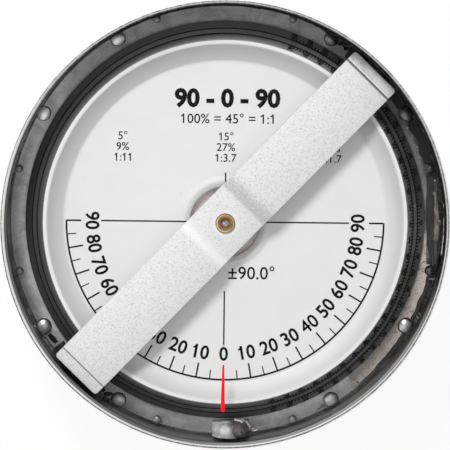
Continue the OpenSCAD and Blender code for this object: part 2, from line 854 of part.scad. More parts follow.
// Ring that holds the diaphragm to the base plate
module diaphragm_ring() {
  color("gray")
    translate([0, 0, diaphragm_ring_z])
      ring(diaphragm_r - diaphragm_ring_w, diaphragm_r, diaphragm_ring_h);
}

case_cup();
capsule_cover();
window_seal();
base_plate();
locating_pegs();
small_pegs();
bridge();
bridge_post_ne();
bridge_post_sw();
front_bearing_screw();
front_jewel();
rear_bearing_cup();
rear_jewel();
axle();
hub();
dial_card();
scale_ring();
dial_marks();
counterweight();
index_line();
sight_frame();
sight_window();
hairline();
reflector_pad();
fill_block();
fill_ball();
fill_plug();
sealant_line();
expansion_diaphragm();
diaphragm_ring();
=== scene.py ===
"""Looks of a liquid-damped clinometer capsule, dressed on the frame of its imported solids.

The sizes in the classes are in millimetres and in the frame of the solids: +Z points out of the
dial, the zero of the card rests at -Y, and the eye looks in at the small scale from +X.
"""
import logging
import math
from dataclasses import dataclass
from enum import Enum
from typing import Callable, Iterable, Sequence

import bmesh
import bpy
from mathutils import Matrix, Vector, noise


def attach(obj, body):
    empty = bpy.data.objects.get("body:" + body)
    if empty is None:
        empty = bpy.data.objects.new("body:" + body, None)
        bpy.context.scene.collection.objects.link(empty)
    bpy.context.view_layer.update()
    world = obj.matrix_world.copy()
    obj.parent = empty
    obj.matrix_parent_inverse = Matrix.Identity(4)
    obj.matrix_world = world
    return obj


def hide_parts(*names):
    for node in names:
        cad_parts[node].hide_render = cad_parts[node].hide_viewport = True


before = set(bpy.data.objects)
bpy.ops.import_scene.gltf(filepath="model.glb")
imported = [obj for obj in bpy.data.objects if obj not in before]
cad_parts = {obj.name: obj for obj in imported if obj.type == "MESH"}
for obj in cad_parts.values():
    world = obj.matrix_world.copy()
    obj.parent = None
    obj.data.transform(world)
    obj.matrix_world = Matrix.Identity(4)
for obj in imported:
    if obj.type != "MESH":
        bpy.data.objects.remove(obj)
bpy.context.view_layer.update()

log = logging.getLogger("clinometer")

MM = 0.001
FULL_TURN = 2 * math.pi
# What lies in the liquid mirrors little
WET_IOR = 1.16
# Corners closer together than this are one
MERGE = 1e-5
# How fine the dents of a lump are, and how much they differ from one lump to the next
LUMP_WAVES = 3.1
LUMP_SHIFT = 2.3
Setting = object
Pair = tuple[float, float]
Triple = tuple[float, float, float]
Colour = tuple[float, float, float, float]


class Body(Enum):
    """The moving bodies of the frame."""

    CASE = "case"
    CARD = "card"


class Slot(Enum):
    """The record's material slots named for the new pieces."""

    BRIDGE_ALUMINIUM = "bridge_aluminium"
    PRINT_BLACK = "print_black"
    SEALANT = "sealant"
    CARD_WHITE = "card_white"
    BLOCK_GREY = "block_grey"
    BRASS_SHADOW = "brass_shadow"
    BLACK_PLASTIC = "black_plastic"


@dataclass(frozen=True)
class Side:
    """A side of the object: its bearing, and the cosines of the angle to it where it begins and is full."""

    way: float
    begins: float
    full: float


def grey(level: float) -> Colour:
    """A neutral colour of one level."""
    return (level, level, level, 1.0)


def tint(red: float, green: float, blue: float) -> Colour:
    """A colour with full opacity."""
    return (red, green, blue, 1.0)


# Shader wiring


class Wire:
    """The output of a shader node. Plain arithmetic on numbers adds Math nodes."""

    def __init__(self, web: "Web", socket: bpy.types.NodeSocket) -> None:
        """Keeps the web that the socket belongs to."""
        self.web = web
        self.socket = socket

    def _math(self, operation: str, *terms: "Wire | float") -> "Wire":
        """Adds one Math node on the terms."""
        return self.web.node("ShaderNodeMath", {"operation": operation}, dict(enumerate(terms)))

    def __add__(self, other: "Wire | float") -> "Wire":
        """This value plus another."""
        return self._math("ADD", self, other)

    __radd__ = __add__

    def __sub__(self, other: "Wire | float") -> "Wire":
        """This value less another."""
        return self._math("SUBTRACT", self, other)

    def __rsub__(self, other: float) -> "Wire":
        """A number less this value."""
        return self._math("SUBTRACT", other, self)

    def __mul__(self, other: "Wire | float") -> "Wire":
        """This value times another."""
        return self._math("MULTIPLY", self, other)

    __rmul__ = __mul__

    def __pow__(self, other: float) -> "Wire":
        """This value to a power."""
        return self._math("POWER", self, other)

    def larger(self, other: "Wire | float") -> "Wire":
        """The larger of this value and another."""
        return self._math("MAXIMUM", self, other)

    def rising(self, low: float, high: float) -> "Wire":
        """Makes a smooth step of this value.

        Args:
            low: the value up to which the step is 0.
            high: the value from which it is 1.

        Returns:
            The step.
        """
        return self.web.node(
            "ShaderNodeMapRange", {"interpolation_type": "SMOOTHSTEP"},
            {"Value": self, "From Min": low, "From Max": high},
        )

    def near(self, middle: float, reach: float) -> "Wire":
        """1 at the middle, falling smoothly to 0 at the reach on both sides."""
        return 1 - self._math("ABSOLUTE", self - middle).rising(0.0, reach)


class Web:
    """The nodes of one material or of the world."""

    def __init__(self, tree: bpy.types.NodeTree) -> None:
        """Starts from an empty tree."""
        tree.nodes.clear()
        self.tree = tree

    def node(self, kind: str, settings: dict[str, Setting] | None = None,
             sockets: dict[int | str, Setting] | None = None, out: int | str = 0) -> Wire:
        """Adds any node.

        Args:
            kind: the node's type.
            settings: its own settings, set first.
            sockets: plain values, or wires to link, by input name or number.
            out: the output to return.

        Returns:
            The wire that leaves the node, or the node's first input where none leaves it.
        """
        made = self.tree.nodes.new(kind)
        for name, setting in (settings or {}).items():
            setattr(made, name, setting)
        for name, value in (sockets or {}).items():
            if isinstance(value, Wire):
                self.tree.links.new(value.socket, made.inputs[name])
            else:
                made.inputs[name].default_value = value
        return Wire(self, made.outputs[out] if made.outputs else made.inputs[0])

    def place(self) -> Wire:
        """Where the point is on the piece, in millimetres."""
        point = self.node("ShaderNodeTexCoord", out="Object")
        return self.scaled(point, 1 / MM)

    def vector(self, operation: str, first: Wire, second: "Wire | Triple | None" = None,
               out: int | str = 0) -> Wire:
        """Adds one Vector Math node.

        Args:
            operation: what it works out.
            first: its first vector.
            second: its second vector, where it takes one.
            out: the output to return.

        Returns:
            The result.
        """
        sockets = {0: first} if second is None else {0: first, 1: second}
        return self.node("ShaderNodeVectorMath", {"operation": operation}, sockets, out)

    def scaled(self, vector: Wire, factor: "Wire | float") -> Wire:
        """A vector times a number."""
        return self.node("ShaderNodeVectorMath", {"operation": "SCALE"}, {0: vector, "Scale": factor})

    def stretched(self, vector: Wire, factors: Triple) -> Wire:
        """A vector with each axis scaled on its own."""
        return self.vector("MULTIPLY", vector, factors)

    def upward(self, level: Wire) -> Wire:
        """A vector along Z of a given length."""
        return self.node("ShaderNodeCombineXYZ", None, {2: level})

    def axes(self, vector: Wire) -> tuple[Wire, Wire, Wire]:
        """The X, Y and Z of a vector."""
        split = self.node("ShaderNodeSeparateXYZ", None, {0: vector})
        return tuple(Wire(self, output) for output in split.socket.node.outputs)

    def flat(self, place: Wire) -> Wire:
        """The place with its height left out."""
        return self.stretched(place, (1.0, 1.0, 0.0))

    def radius(self, place: Wire) -> Wire:
        """Distance of a place from the axle's line."""
        return self.vector("LENGTH", self.flat(place), out="Value")

    def bearing(self, place: Wire) -> Wire:
        """Unit vector from the axle's line towards a place."""
        return self.vector("NORMALIZE", self.flat(place))

    def towards(self, place: Wire, degrees: float) -> Wire:
        """Cosine of the angle between a place's bearing and a given one."""
        way = (math.cos(math.radians(degrees)), math.sin(math.radians(degrees)), 0.0)
        return self.vector("DOT_PRODUCT", self.bearing(place), way, "Value")

    def on_side(self, place: Wire, side: Side) -> Wire:
        """1 on a side of the object, falling smoothly to 0 away from it."""
        return self.towards(place, side.way).rising(side.begins, side.full)

    def along(self, place: Wire, degrees: float) -> Wire:
        """How far a place is from the axle's line, measured along a bearing."""
        return self.radius(place) * self.towards(place, degrees)

    def spot(self, place: Wire, across: float, up: float, reach: float) -> Wire:
        """1 at a point seen from above, falling smoothly to 0 at the reach."""
        apart = self.vector("DISTANCE", self.flat(place), (across, up, 0.0), "Value")
        return 1 - apart.rising(0.0, reach)

    def facing(self, way: Triple) -> Wire:
        """How far the surface faces a direction, from -1 to 1."""
        normal = self.node("ShaderNodeNewGeometry", out="Normal")
        return self.vector("DOT_PRODUCT", normal, way, "Value")

    def round_marks(self, place: Wire, along: float, across: float) -> Wire:
        """Draws noise out along circles round the axle, as turning and brushing leave it.

        Args:
            place: the place on the piece.
            along: how often the marks change round the axle.
            across: how close together they lie.

        Returns:
            The marks, between 0 and 1.
        """
        _, _, height = self.axes(place)
        ring = self.upward(self.radius(place) * across)
        spot = self.vector("ADD", ring, self.scaled(self.bearing(place), along))
        return self.cloud(self.vector("ADD", spot, self.upward(height * across)), 1.0, 3.0)

    def cloud(self, where: Wire, scale: float, detail: float = 2.0, bend: float = 0.0) -> Wire:
        """Adds smooth noise.

        Args:
            where: the place that it is read at.
            scale: how fine it is, per millimetre.
            detail: how many finer layers it has.
            bend: how far it is distorted.

        Returns:
            The noise, between 0 and 1.
        """
        return self.node(
            "ShaderNodeTexNoise", None,
            {"Vector": where, "Scale": scale, "Detail": detail, "Distortion": bend},
        )

    def specks(self, where: Wire, scale: float, size: float) -> Wire:
        """Small round specks, 1 at their middles."""
        apart = self.node("ShaderNodeTexVoronoi", None, {"Vector": where, "Scale": scale})
        return 1 - apart.rising(size * 0.4, size)

    def blend(self, share: "Wire | float", first: "Wire | Colour", second: "Wire | Colour") -> Wire:
        """A mix of two colours."""
        return self.node("ShaderNodeMix", {"data_type": "RGBA"}, {0: share, 6: first, 7: second}, 2)

    def layered(self, ground: "Wire | Colour", *layers: "tuple[Wire | float, Wire | Colour]") -> Wire:
        """Lays colours over a ground, one after the other.

        Args:
            ground: the colour under them all.
            layers: for each layer, how much of it covers what is below, and its colour.

        Returns:
            The colour on top.
        """
        for share, colour in layers:
            ground = self.blend(share, ground, colour)
        return ground

    def shade(self, level: Wire) -> Wire:
        """A neutral colour from a number."""
        return self.node("ShaderNodeCombineColor", None, {0: level, 1: level, 2: level})

    def dents(self, height: Wire, depth: float, strength: float = 1.0) -> Wire:
        """A normal for a surface that rises and falls by a depth in millimetres."""
        relief = {"Height": height, "Distance": depth * MM, "Strength": strength}
        return self.node("ShaderNodeBump", None, relief)

    def surface(self, **sockets: Setting) -> Wire:
        """A Principled surface; underscores in the names stand for spaces."""
        named = {name.replace("_", " "): value for name, value in sockets.items()}
        return self.node("ShaderNodeBsdfPrincipled", None, named)

    def seen(self) -> Wire:
        """Tells the rays of the camera, of mirrors and of glass from those that light the object.

        Returns:
            1 for the former and 0 for the latter.
        """
        path = self.node("ShaderNodeLightPath").socket.node.outputs
        kinds = ("Camera", "Glossy", "Transmission")
        eye, mirror, glass = (Wire(self, path[f"Is {kind} Ray"]) for kind in kinds)
        return eye.larger(mirror).larger(glass)


# Finishes


@dataclass(frozen=True)
class Finish:
    """A finish, which makes its material once."""

    name: str

    def material(self) -> bpy.types.Material:
        """Makes the finish's material, or finds it where it was made before.

        Returns:
            The material.
        """
        known = bpy.data.materials.get(self.name)
        if known is not None:
            return known
        made = bpy.data.materials.new(self.name)
        made.use_nodes = True
        web = Web(made.node_tree)
        web.node("ShaderNodeOutputMaterial", None, {"Surface": self.shader(web)})
        return made

    def shader(self, web: Web) -> Wire:
        """The finish's surface."""
        raise NotImplementedError

    def put_on(self, *pieces: bpy.types.Object) -> None:
        """Dresses every slot of the pieces in this finish.

        Args:
            pieces: the pieces.
        """
        for piece in pieces:
            if not piece.material_slots:
                piece.data.materials.append(self.material())
            for slot in piece.material_slots:
                slot.material = self.material()


@dataclass(frozen=True)
class TurnedAluminium(Finish):
    """Bright turned aluminium of the case, with lathe marks, pits and fine teeth on the rim."""

    level: float = 0.80
    roughness: float = 0.28
    rim_z: float = 11.3
    line_r: float = 22.40
    bead_r: float = 22.17
    inner_r: float = 22.16
    outer_r: float = 22.5
    stain_z: float = 7.3
    off_centre: float = 0.07
    off_way: float = 155.0
    teeth_scale: float = 46.0
    # Levels of the outer wall; painted light raises it to the top level on the top side
    side_level: float = 0.56
    top_level: float = 0.92
    shadow_level: float = 0.02
    # Sides where the rim gets painted shade
    below: Side = Side(270.0, -0.6, 0.4)
    above: Side = Side(78.0, -0.1, 1.0)
    bead_side: Side = Side(50.0, -0.35, 0.35)
    # The side where the upper inner wall gets painted shade
    bottom: Side = Side(275.0, 0.2, 0.8)
    # The side where the inner wall gets black painted shadow
    sight_side: Side = Side(5.0, 0.55, 0.85)
    # The side where the outer wall gets painted light
    top: Side = Side(90.0, 0.3, 0.8)

    def rim_level(self, web: Web, place: Wire, level: Wire, rim: Wire, broken: Wire) -> Wire:
        """Draws a toothed line of painted shade along the rim's chamfer, painted shade on the rim's inner
        edge at the top and on the line at the bottom, and the black bead that has crept onto its edge.

        Args:
            web: the material's nodes.
            place: the place on the case.
            level: the level of the plain metal.
            rim: 1 on the rim.
            broken: noise that breaks the line up.

        Returns:
            The level with the painted shade and the bead on it.
        """
        radius = web.radius(place) - self.off_centre * web.towards(place, self.off_way)
        teeth = web.cloud(web.scaled(web.bearing(place), self.teeth_scale), 2.2, 1.0).rising(0.38, 0.62)
        # Painted shade: a dark line along the rim's chamfer, broken into teeth
        line = radius.near(self.line_r, 0.085) * (0.22 + 0.38 * teeth + 0.2 * broken)
        # Painted shade: the line is darker on the bottom side
        line = line + 0.30 * web.on_side(place, self.below) * radius.near(self.line_r - 0.04, 0.09)
        inner = 1 - radius.rising(self.bead_r, self.bead_r + 0.24)
        # Painted shade: the rim's inner edge is darker at the top
        shade = line + 0.62 * web.on_side(place, self.above) * inner
        crept = 1 - (radius - 0.10 * teeth).rising(self.bead_r - 0.11, self.bead_r - 0.04)
        crept = 0.97 * rim * crept * web.on_side(place, self.bead_side)
        return (level - rim * shade).larger(0.03) * (1 - crept)

    def inner_wall(self, web: Web, place: Wire, broken: Wire) -> Wire:
        """Colours the wall inside: grey, paler above the stain, with painted shade that makes it dark there
        on the bottom side, and black painted shadow beside the sight.

        Args:
            web: the material's nodes.
            place: the place on the case.
            broken: noise that makes the stain's edge wavy.

        Returns:
            The wall's colour.
        """
        _, _, height = web.axes(place)
        stained = (height + 1.6 * broken).rising(self.stain_z, self.stain_z + 2.0)
        bottom = web.on_side(place, self.bottom)
        return web.layered(
            # Painted shade: above the stain the wall is darker on the bottom side
            web.shade(0.24 + 0.02 * bottom), (stained, web.shade(0.42 - 0.33 * bottom)),
            # Painted shadow: black beside the sight
            (web.on_side(place, self.sight_side) * (1 - 0.7 * stained), grey(self.shadow_level)),
        )

    def outer_wall(self, web: Web, place: Wire, fine: Wire) -> Wire:
        """Colours the wall outside: brushed, with painted light that makes it brightest at the top.

        Args:
            web: the material's nodes.
            place: the place on the case.
            fine: fine lathe marks.

        Returns:
            The wall's colour.
        """
        brushed = web.round_marks(place, 7.0, 3.0)
        # Painted light: the wall is brightest on the top side
        level = self.side_level + (self.top_level - self.side_level) * web.on_side(place, self.top)
        return web.shade(level - 0.22 * (brushed - 0.5) - 0.10 * (fine - 0.5))

    def shader(self, web: Web) -> Wire:
        """Lays lathe marks all over, and gives the rim and both walls looks of their own.

        Args:
            web: the material's nodes.

        Returns:
            The surface.
        """
        place = web.place()
        marks = web.round_marks(place, 5.0, 9.0)
        fine = web.round_marks(place, 16.0, 42.0)
        grime = web.cloud(place, 0.7, 4.0).rising(0.52, 0.72)
        pits = web.specks(place, 2.4, 0.16)
        broken = web.cloud(web.scaled(web.bearing(place), 9.0), 1.0, 2.0)
        _, _, height = web.axes(place)
        rim = height.rising(self.rim_z - 0.1, self.rim_z)
        radius = web.radius(place)
        outside = radius.rising(self.outer_r - 0.04, self.outer_r - 0.01) * (1 - rim)
        inside = (1 - radius.rising(self.inner_r, self.inner_r + 0.02)) * (1 - rim)
        plain = self.level - 0.12 * marks - 0.06 * fine - 0.10 * grime - 0.22 * pits
        level = web.layered(
            web.shade(self.rim_level(web, place, plain, rim, broken)),
            (outside, self.outer_wall(web, place, fine)), (inside, self.inner_wall(web, place, broken)),
        )
        return web.surface(
            Base_Color=level, Metallic=1 - 0.7 * inside,
            Roughness=self.roughness + 0.16 * marks + 0.14 * grime,
            Normal=web.dents(fine * 0.5 + marks * 0.5, 0.02, 0.7),
        )


@dataclass(frozen=True)
class BlastedAluminium(Finish):
    """Pale matt blasted aluminium of the bridge, with small dark specks."""

    level: float = 0.79
    speck_level: float = 0.22
    bright_level: float = 0.93
    # Level of the painted highlight just past one of the grooves
    burr_level: float = 0.9
    # Level of the painted shade in the grooves
    groove_level: float = 0.02
    roughness: float = 0.62
    along_way: float = 45.4
    slope_from: float = 2.5
    slope_to: float = 3.6
    groove_u: float = 20.35
    halo_r: float = 1.5

    def shader(self, web: Web) -> Wire:
        """Strews grain and specks, denser on the slope that faces away from the light, where painted shade
        also lies; lays painted light on the other slope, painted shade on one foot and in the grooves, and a
        painted highlight just past one of them.

        Args:
            web: the material's nodes.

        Returns:
            The surface.
        """
        place = web.place()
        grain = web.cloud(place, 7.5, 3.0)
        coarse = web.cloud(place, 1.5, 2.0)
        across = web.along(place, self.along_way)
        slope = across.rising(self.slope_from - 0.1, self.slope_from + 0.25) * (
            1 - across.rising(self.slope_to - 0.2, self.slope_to + 1.2))
        # Painted light on the slope that faces the light
        bright = (across + (self.slope_from + self.slope_to) / 2).near(0.0, 0.75)
        halo = 1 - web.radius(place).rising(self.halo_r - 0.5, self.halo_r)
        pits = web.specks(place, 3.3, 0.22) * coarse.rising(0.42, 0.60)
        # Painted shade: specks are denser on the slope that faces away from the light
        flecks = (grain + 0.14 * slope).rising(0.46, 0.72)
        # Painted shade, patchy, on the foot past one of the grooves
        foot = across.rising(self.groove_u - 0.3, self.groove_u) * (0.12 + 0.3 * coarse.rising(0.45, 0.65))
        # Painted shade in the grooves across the strap
        groove_shade = across.near(self.groove_u - 0.02, 0.22).larger((across + self.groove_u).near(0.0, 0.09))
        # Painted highlight: a pale line just past one of the grooves
        groove_highlight = across.near(self.groove_u + 0.16, 0.09)
        level = web.layered(
            grey(self.level),
            (flecks * 0.62, grey(self.speck_level + 0.25)),
            (pits * 0.6, grey(self.speck_level)),
            # Painted shade on the slope that faces away from the light
            (slope * 0.10, grey(self.speck_level)),
            (bright * 0.7, grey(self.bright_level)),
            (halo * 0.8, grey(self.bright_level)),
            (foot, grey(self.speck_level + 0.1)),
            (groove_shade * 0.85, grey(self.groove_level)),
            (groove_highlight * 0.7, grey(self.burr_level)),
        )
        return web.surface(
            Base_Color=level, Metallic=0.1, Roughness=self.roughness + 0.12 * grain,
            Normal=web.dents(grain - pits * 0.6, 0.03, 0.4),
        )


@dataclass(frozen=True)
class CardPaint(Finish):
    """Satin white of the dial card, with painted shade on its sloping side, and a few specks and hairs."""

    face_level: float = 0.82
    slope_level: float = 0.76
    foot_level: float = 0.59
    lip_level: float = 0.89
    hole_level: float = 0.22
    mottle_level: float = 0.5
    hair_level: float = 0.25
    dust_level: float = 0.3
    face_r: float = 16.3
    lip_r: float = 17.98
    raised_r: float = 4.85
    hole_r: float = 3.575
    sheen_way: float = 300.0
    light_way: Triple = (-0.37, 0.93, 0.0)

    def shader(self, web: Web) -> Wire:
        """Parts the card into zones by radius, with painted shade on the slope and round the hub hole,
        painted shade and light on the raised ring, and faint mottling.

        Args:
            web: the material's nodes.

        Returns:
            The surface.
        """
        place = web.place()
        radius = web.radius(place)
        slope = radius.rising(self.face_r - 0.35, self.face_r + 0.25)
        foot = radius.rising(self.face_r, self.lip_r)
        lip = radius.rising(self.lip_r - 0.14, self.lip_r + 0.18)
        raised = 1 - radius.rising(self.raised_r - 0.1, self.raised_r)
        hole = 1 - radius.rising(self.hole_r - 0.02, self.hole_r + 0.30)
        # Painted shade: the slope is darker on the sides away from the lit bearing
        slope_side_shade = (1 - web.towards(place, self.sheen_way)) * 0.13
        mottle = web.cloud(place, 0.35, 3.0)
        patches = web.cloud(place, 0.25, 1.0).rising(0.60, 0.66)
        hairs = web.cloud(place, 0.9, 1.0, 2.5).near(0.5, 0.006) * patches
        dust = web.specks(place, 0.55, 0.05)
        # Painted shade: the slope is greyer than the face and darkest towards the lip
        side = web.layered(grey(self.slope_level), (foot, grey(self.foot_level)), (slope_side_shade, grey(0.0)))
        level = web.layered(
            grey(self.face_level),
            (slope, side),
            # Painted shade where the raised ring faces the light, painted light where it faces away
            (raised * 0.34 * web.facing(self.light_way), grey(0.0)),
            # Painted shade round the hub hole's edge
            (hole * 0.55, grey(self.hole_level)),
            (lip, grey(self.lip_level)),
            (mottle.rising(0.3, 0.8) * 0.07, grey(self.mottle_level)),
            (hairs * 0.18, grey(self.hair_level)),
            (dust * 0.35, grey(self.dust_level)),
        )
        return web.surface(
            Base_Color=level, Roughness=0.45 + 0.1 * mottle,
            Normal=web.dents(web.cloud(place, 3.0, 2.0), 0.01, 0.25),
        )


@dataclass(frozen=True)
class RingPaint(Finish):
    """Charcoal of the scale ring, in three bands that get darker towards its foot, with painted light that
    changes round the card.
    """

    top_level: float = 0.15
    middle_level: float = 0.085
    low_level: float = 0.063
    pale_level: float = 0.36
    grain_level: float = 0.14
    dust_level: float = 0.55
    top_r: float = 18.94
    middle_r: float = 19.43
    sight_way: float = 0.0
    # Sides where the ring gets painted light
    upper: Side = Side(100.0, -0.2, 0.9)
    pale: Side = Side(322.0, 0.6, 1.0)

    def shader(self, web: Web) -> Wire:
        """Parts the ring into bands by radius, lays painted light on them by bearing, and adds dust.

        Args:
            web: the material's nodes.

        Returns:
            The surface.
        """
        place = web.place()
        radius = web.radius(place)
        grain = web.cloud(place, 4.0, 3.0)
        dust = web.specks(place, 1.1, 0.05)
        bands = web.layered(
            grey(self.top_level),
            (radius.rising(self.top_r - 0.55, self.top_r + 0.05), grey(self.middle_level)),
            (radius.rising(self.middle_r - 0.05, self.middle_r + 0.05), grey(self.low_level)),
        )
        # Painted light: brighter away from the least lit bearing, most at right angles to it
        bands = web.scaled(bands, 2.1 - 1.1 * web.towards(place, self.sight_way) ** 2)
        # Painted light on the top band on the upper side
        upper = web.on_side(place, self.upper) * 0.75
        bands = web.scaled(bands, 1 + upper * radius.rising(self.top_r - 0.1, self.top_r + 0.2))
        level = web.layered(
            # Painted light at the lower right
            bands, (web.on_side(place, self.pale) * 0.5, grey(self.pale_level)),
            (grain.rising(0.45, 0.75) * 0.25, grey(self.grain_level)), (dust * 0.8, grey(self.dust_level)),
        )
        return web.surface(Base_Color=level, Roughness=0.42 + 0.2 * grain, IOR=WET_IOR,
                           Normal=web.dents(grain, 0.015, 0.4))


@dataclass(frozen=True)
class PlatePlastic(Finish):
    """Mottled grey plastic of the base plate, darker on its right side, where it is smudged with sealant and
    has painted shade, with painted light at its left and at the port.
    """

    light: float = 0.62
    dark: float = 0.44
    stain: float = 0.03
    grain_level: float = 0.6
    edge_r: float = 21.2
    foot_r: float = 20.3
    metallic: float = 0.38
    stained_side: Side = Side(6.0, 0.50, 0.85)
    # Sides where the plate gets painted shade and painted light
    dark_side: Side = Side(80.0, 0.0, 1.0)
    shaded_side: Side = Side(22.0, 0.80, 1.0)
    port_side: Side = Side(290.0, 0.75, 1.0)
    bright_side: Side = Side(168.0, 0.75, 1.0)
    upper: Side = Side(100.0, -0.2, 0.6)
    lower: Side = Side(235.0, -0.1, 0.5)

    def brightness(self, web: Web, place: Wire) -> Wire:
        """Lays painted shade on the plate at the top and at the upper right, and painted light at the left
        and at the port; near its edge, painted light on the upper side and painted shade on the lower side.

        Args:
            web: the material's nodes.
            place: the place on the plate.

        Returns:
            The factor for the plate's colour.
        """
        radius = web.radius(place)
        # Painted shade at the top and upper right, painted light at the left and at the port
        turned = 0.92 - 0.22 * web.on_side(place, self.dark_side)
        turned = turned - 0.44 * web.on_side(place, self.shaded_side)
        turned = turned + 0.45 * web.on_side(place, self.port_side)
        turned = turned + 0.45 * web.on_side(place, self.bright_side)
        # Painted light near the edge on the upper side, painted shade towards the edge on the lower side
        edge = 0.15 * web.on_side(place, self.upper) * radius.rising(self.edge_r, self.edge_r + 0.5)
        edge = edge - 0.5 * web.on_side(place, self.lower) * radius.rising(self.foot_r, self.edge_r + 0.4)
        return turned * (1 + edge)

    def shader(self, web: Web) -> Wire:
        """Lays broad mottling and grain, with stains on the right.

        Args:
            web: the material's nodes.

        Returns:
            The surface.
        """
        place = web.place()
        mottle = web.cloud(place, 0.55, 4.0, 0.6)
        smears = web.cloud(place, 1.6, 4.0, 1.4)
        grain = web.cloud(place, 4.5, 3.0)
        plain = web.layered(
            grey(self.light), (mottle.rising(0.35, 0.66), grey(self.dark)),
            (smears.rising(0.50, 0.70) * 0.35, grey(self.light * 1.3)),
        )
        channel = web.radius(place).rising(self.foot_r + 0.2, self.foot_r + 0.7)
        stained = web.on_side(place, self.stained_side) * channel
        level = web.layered(
            web.scaled(plain, self.brightness(web, place)),
            (stained * (0.5 + 0.4 * smears.rising(0.35, 0.6)), grey(self.stain)),
            (grain.rising(0.52, 0.8) * 0.2, grey(self.grain_level)),
            ((1 - grain.rising(0.2, 0.45)) * 0.3, grey(self.stain)),
        )
        return web.surface(
            Base_Color=level, Metallic=self.metallic, Roughness=0.38 + 0.2 * mottle, IOR=WET_IOR,
            Normal=web.dents(smears + grain * 0.5, 0.04, 0.5),
        )


@dataclass(frozen=True)
class Moulded(Finish):
    """Moulded plastic or rubber, with a fine grain and paler dust."""

    colour: Colour = grey(0.02)
    dust: Colour = grey(0.25)
    dust_share: float = 0.25
    roughness: float = 0.35
    ior: float = WET_IOR

    def shader(self, web: Web) -> Wire:
        """Gives grain to colour, gloss and relief.

        Args:
            web: the material's nodes.

        Returns:
            The surface.
        """
        place = web.place()
        grain = web.cloud(place, 3.4, 3.0)
        haze = web.cloud(place, 0.8, 3.0, 0.8).rising(0.50, 0.75)
        colour = web.layered(
            self.colour, (haze * self.dust_share, self.dust),
            (web.specks(place, 1.3, 0.09) * self.dust_share, self.dust),
        )
        return web.surface(
            Base_Color=colour, Roughness=self.roughness + 0.2 * grain, IOR=self.ior,
            Normal=web.dents(grain, 0.02, 0.4),
        )


@dataclass(frozen=True)
class SealantPaint(Finish):
    """Black sealant, greyer at the left and along the bottom."""

    black: float = 0.006
    left: float = 0.13
    bottom: float = 0.24
    grain_level: float = 0.12
    left_side: Side = Side(200.0, 0.1, 0.8)
    bottom_side: Side = Side(298.0, 0.66, 0.92)

    def shader(self, web: Web) -> Wire:
        """Sets the level by bearing, with grain.

        Args:
            web: the material's nodes.

        Returns:
            The surface.
        """
        place = web.place()
        grain = web.cloud(place, 3.4, 3.0)
        level = web.layered(
            grey(self.black), (web.on_side(place, self.left_side), grey(self.left)),
            (web.on_side(place, self.bottom_side), grey(self.bottom)),
            (grain.rising(0.5, 0.75) * 0.3, grey(self.grain_level)),
        )
        return web.surface(Base_Color=level, Roughness=0.3 + 0.2 * grain, IOR=WET_IOR,
                           Normal=web.dents(grain, 0.03, 0.5))


@dataclass(frozen=True)
class SpottedPad(Finish):
    """Cloudy material with dark specks and stains: the tan light pad, dark glue and compound."""

    colour: Colour = tint(0.70, 0.635, 0.57)
    stain: Colour = tint(0.06, 0.052, 0.045)
    cloudy: Colour = tint(0.50, 0.455, 0.40)
    stretch: Triple = (1.0, 1.0, 1.0)

    def shader(self, web: Web) -> Wire:
        """Strews specks of two sizes over a cloudy ground.

        Args:
            web: the material's nodes.

        Returns:
            The surface.
        """
        place = web.stretched(web.place(), self.stretch)
        cloud = web.cloud(place, 0.9, 4.0)
        marks = web.cloud(place, 2.6, 3.0, 1.2)
        colour = web.layered(
            self.colour, (cloud.rising(0.40, 0.68) * 0.7, self.cloudy),
            (marks.rising(0.55, 0.68) * 0.55, self.stain),
            (web.specks(place, 1.4, 0.24) * cloud.rising(0.42, 0.52), self.stain),
            (web.specks(place, 3.2, 0.24) * 0.6, self.stain),
        )
        return web.surface(Base_Color=colour, Roughness=0.75, IOR=WET_IOR, Normal=web.dents(cloud, 0.05, 0.6))


@dataclass(frozen=True)
class PortCompound(Finish):
    """Pale compound of the fill port with fine wrinkles, with painted highlight on their crests and painted
    shade in their troughs, as dark as the plate right of a line.
    """

    pale: float = 0.62
    dull: float = 0.34
    dark: float = 0.13
    crest: float = 0.95
    pale_to: float = 0.10
    drawn_out: Triple = (1.6, 0.8, 0.6)

    def shader(self, web: Web) -> Wire:
        """Lays wrinkles over pale and dark, with painted highlight on their crests and painted shade in their
        troughs.

        Args:
            web: the material's nodes.

        Returns:
            The surface.
        """
        place = web.place()
        wrinkles = web.cloud(web.stretched(place, self.drawn_out), 2.4, 3.0, 1.6)
        cloud = web.cloud(place, 0.9, 3.0)
        across, _, _ = web.axes(place)
        right = (across + 0.9 * cloud).rising(self.pale_to + 0.35, self.pale_to + 1.1)
        level = web.layered(
            grey(self.pale), (cloud.rising(0.40, 0.65) * 0.6, grey(self.dull)),
            # Painted highlight on the wrinkles' crests
            (wrinkles.rising(0.52, 0.66) * 0.5, grey(self.crest)),
            # Painted shade in the wrinkles' troughs
            ((1 - wrinkles.rising(0.34, 0.46)) * 0.5, grey(self.dark)),
            (right * 0.85, grey(self.dark)),
        )
        return web.surface(Base_Color=level, Roughness=0.5, IOR=WET_IOR,
                           Normal=web.dents(wrinkles, 0.06, 0.8))


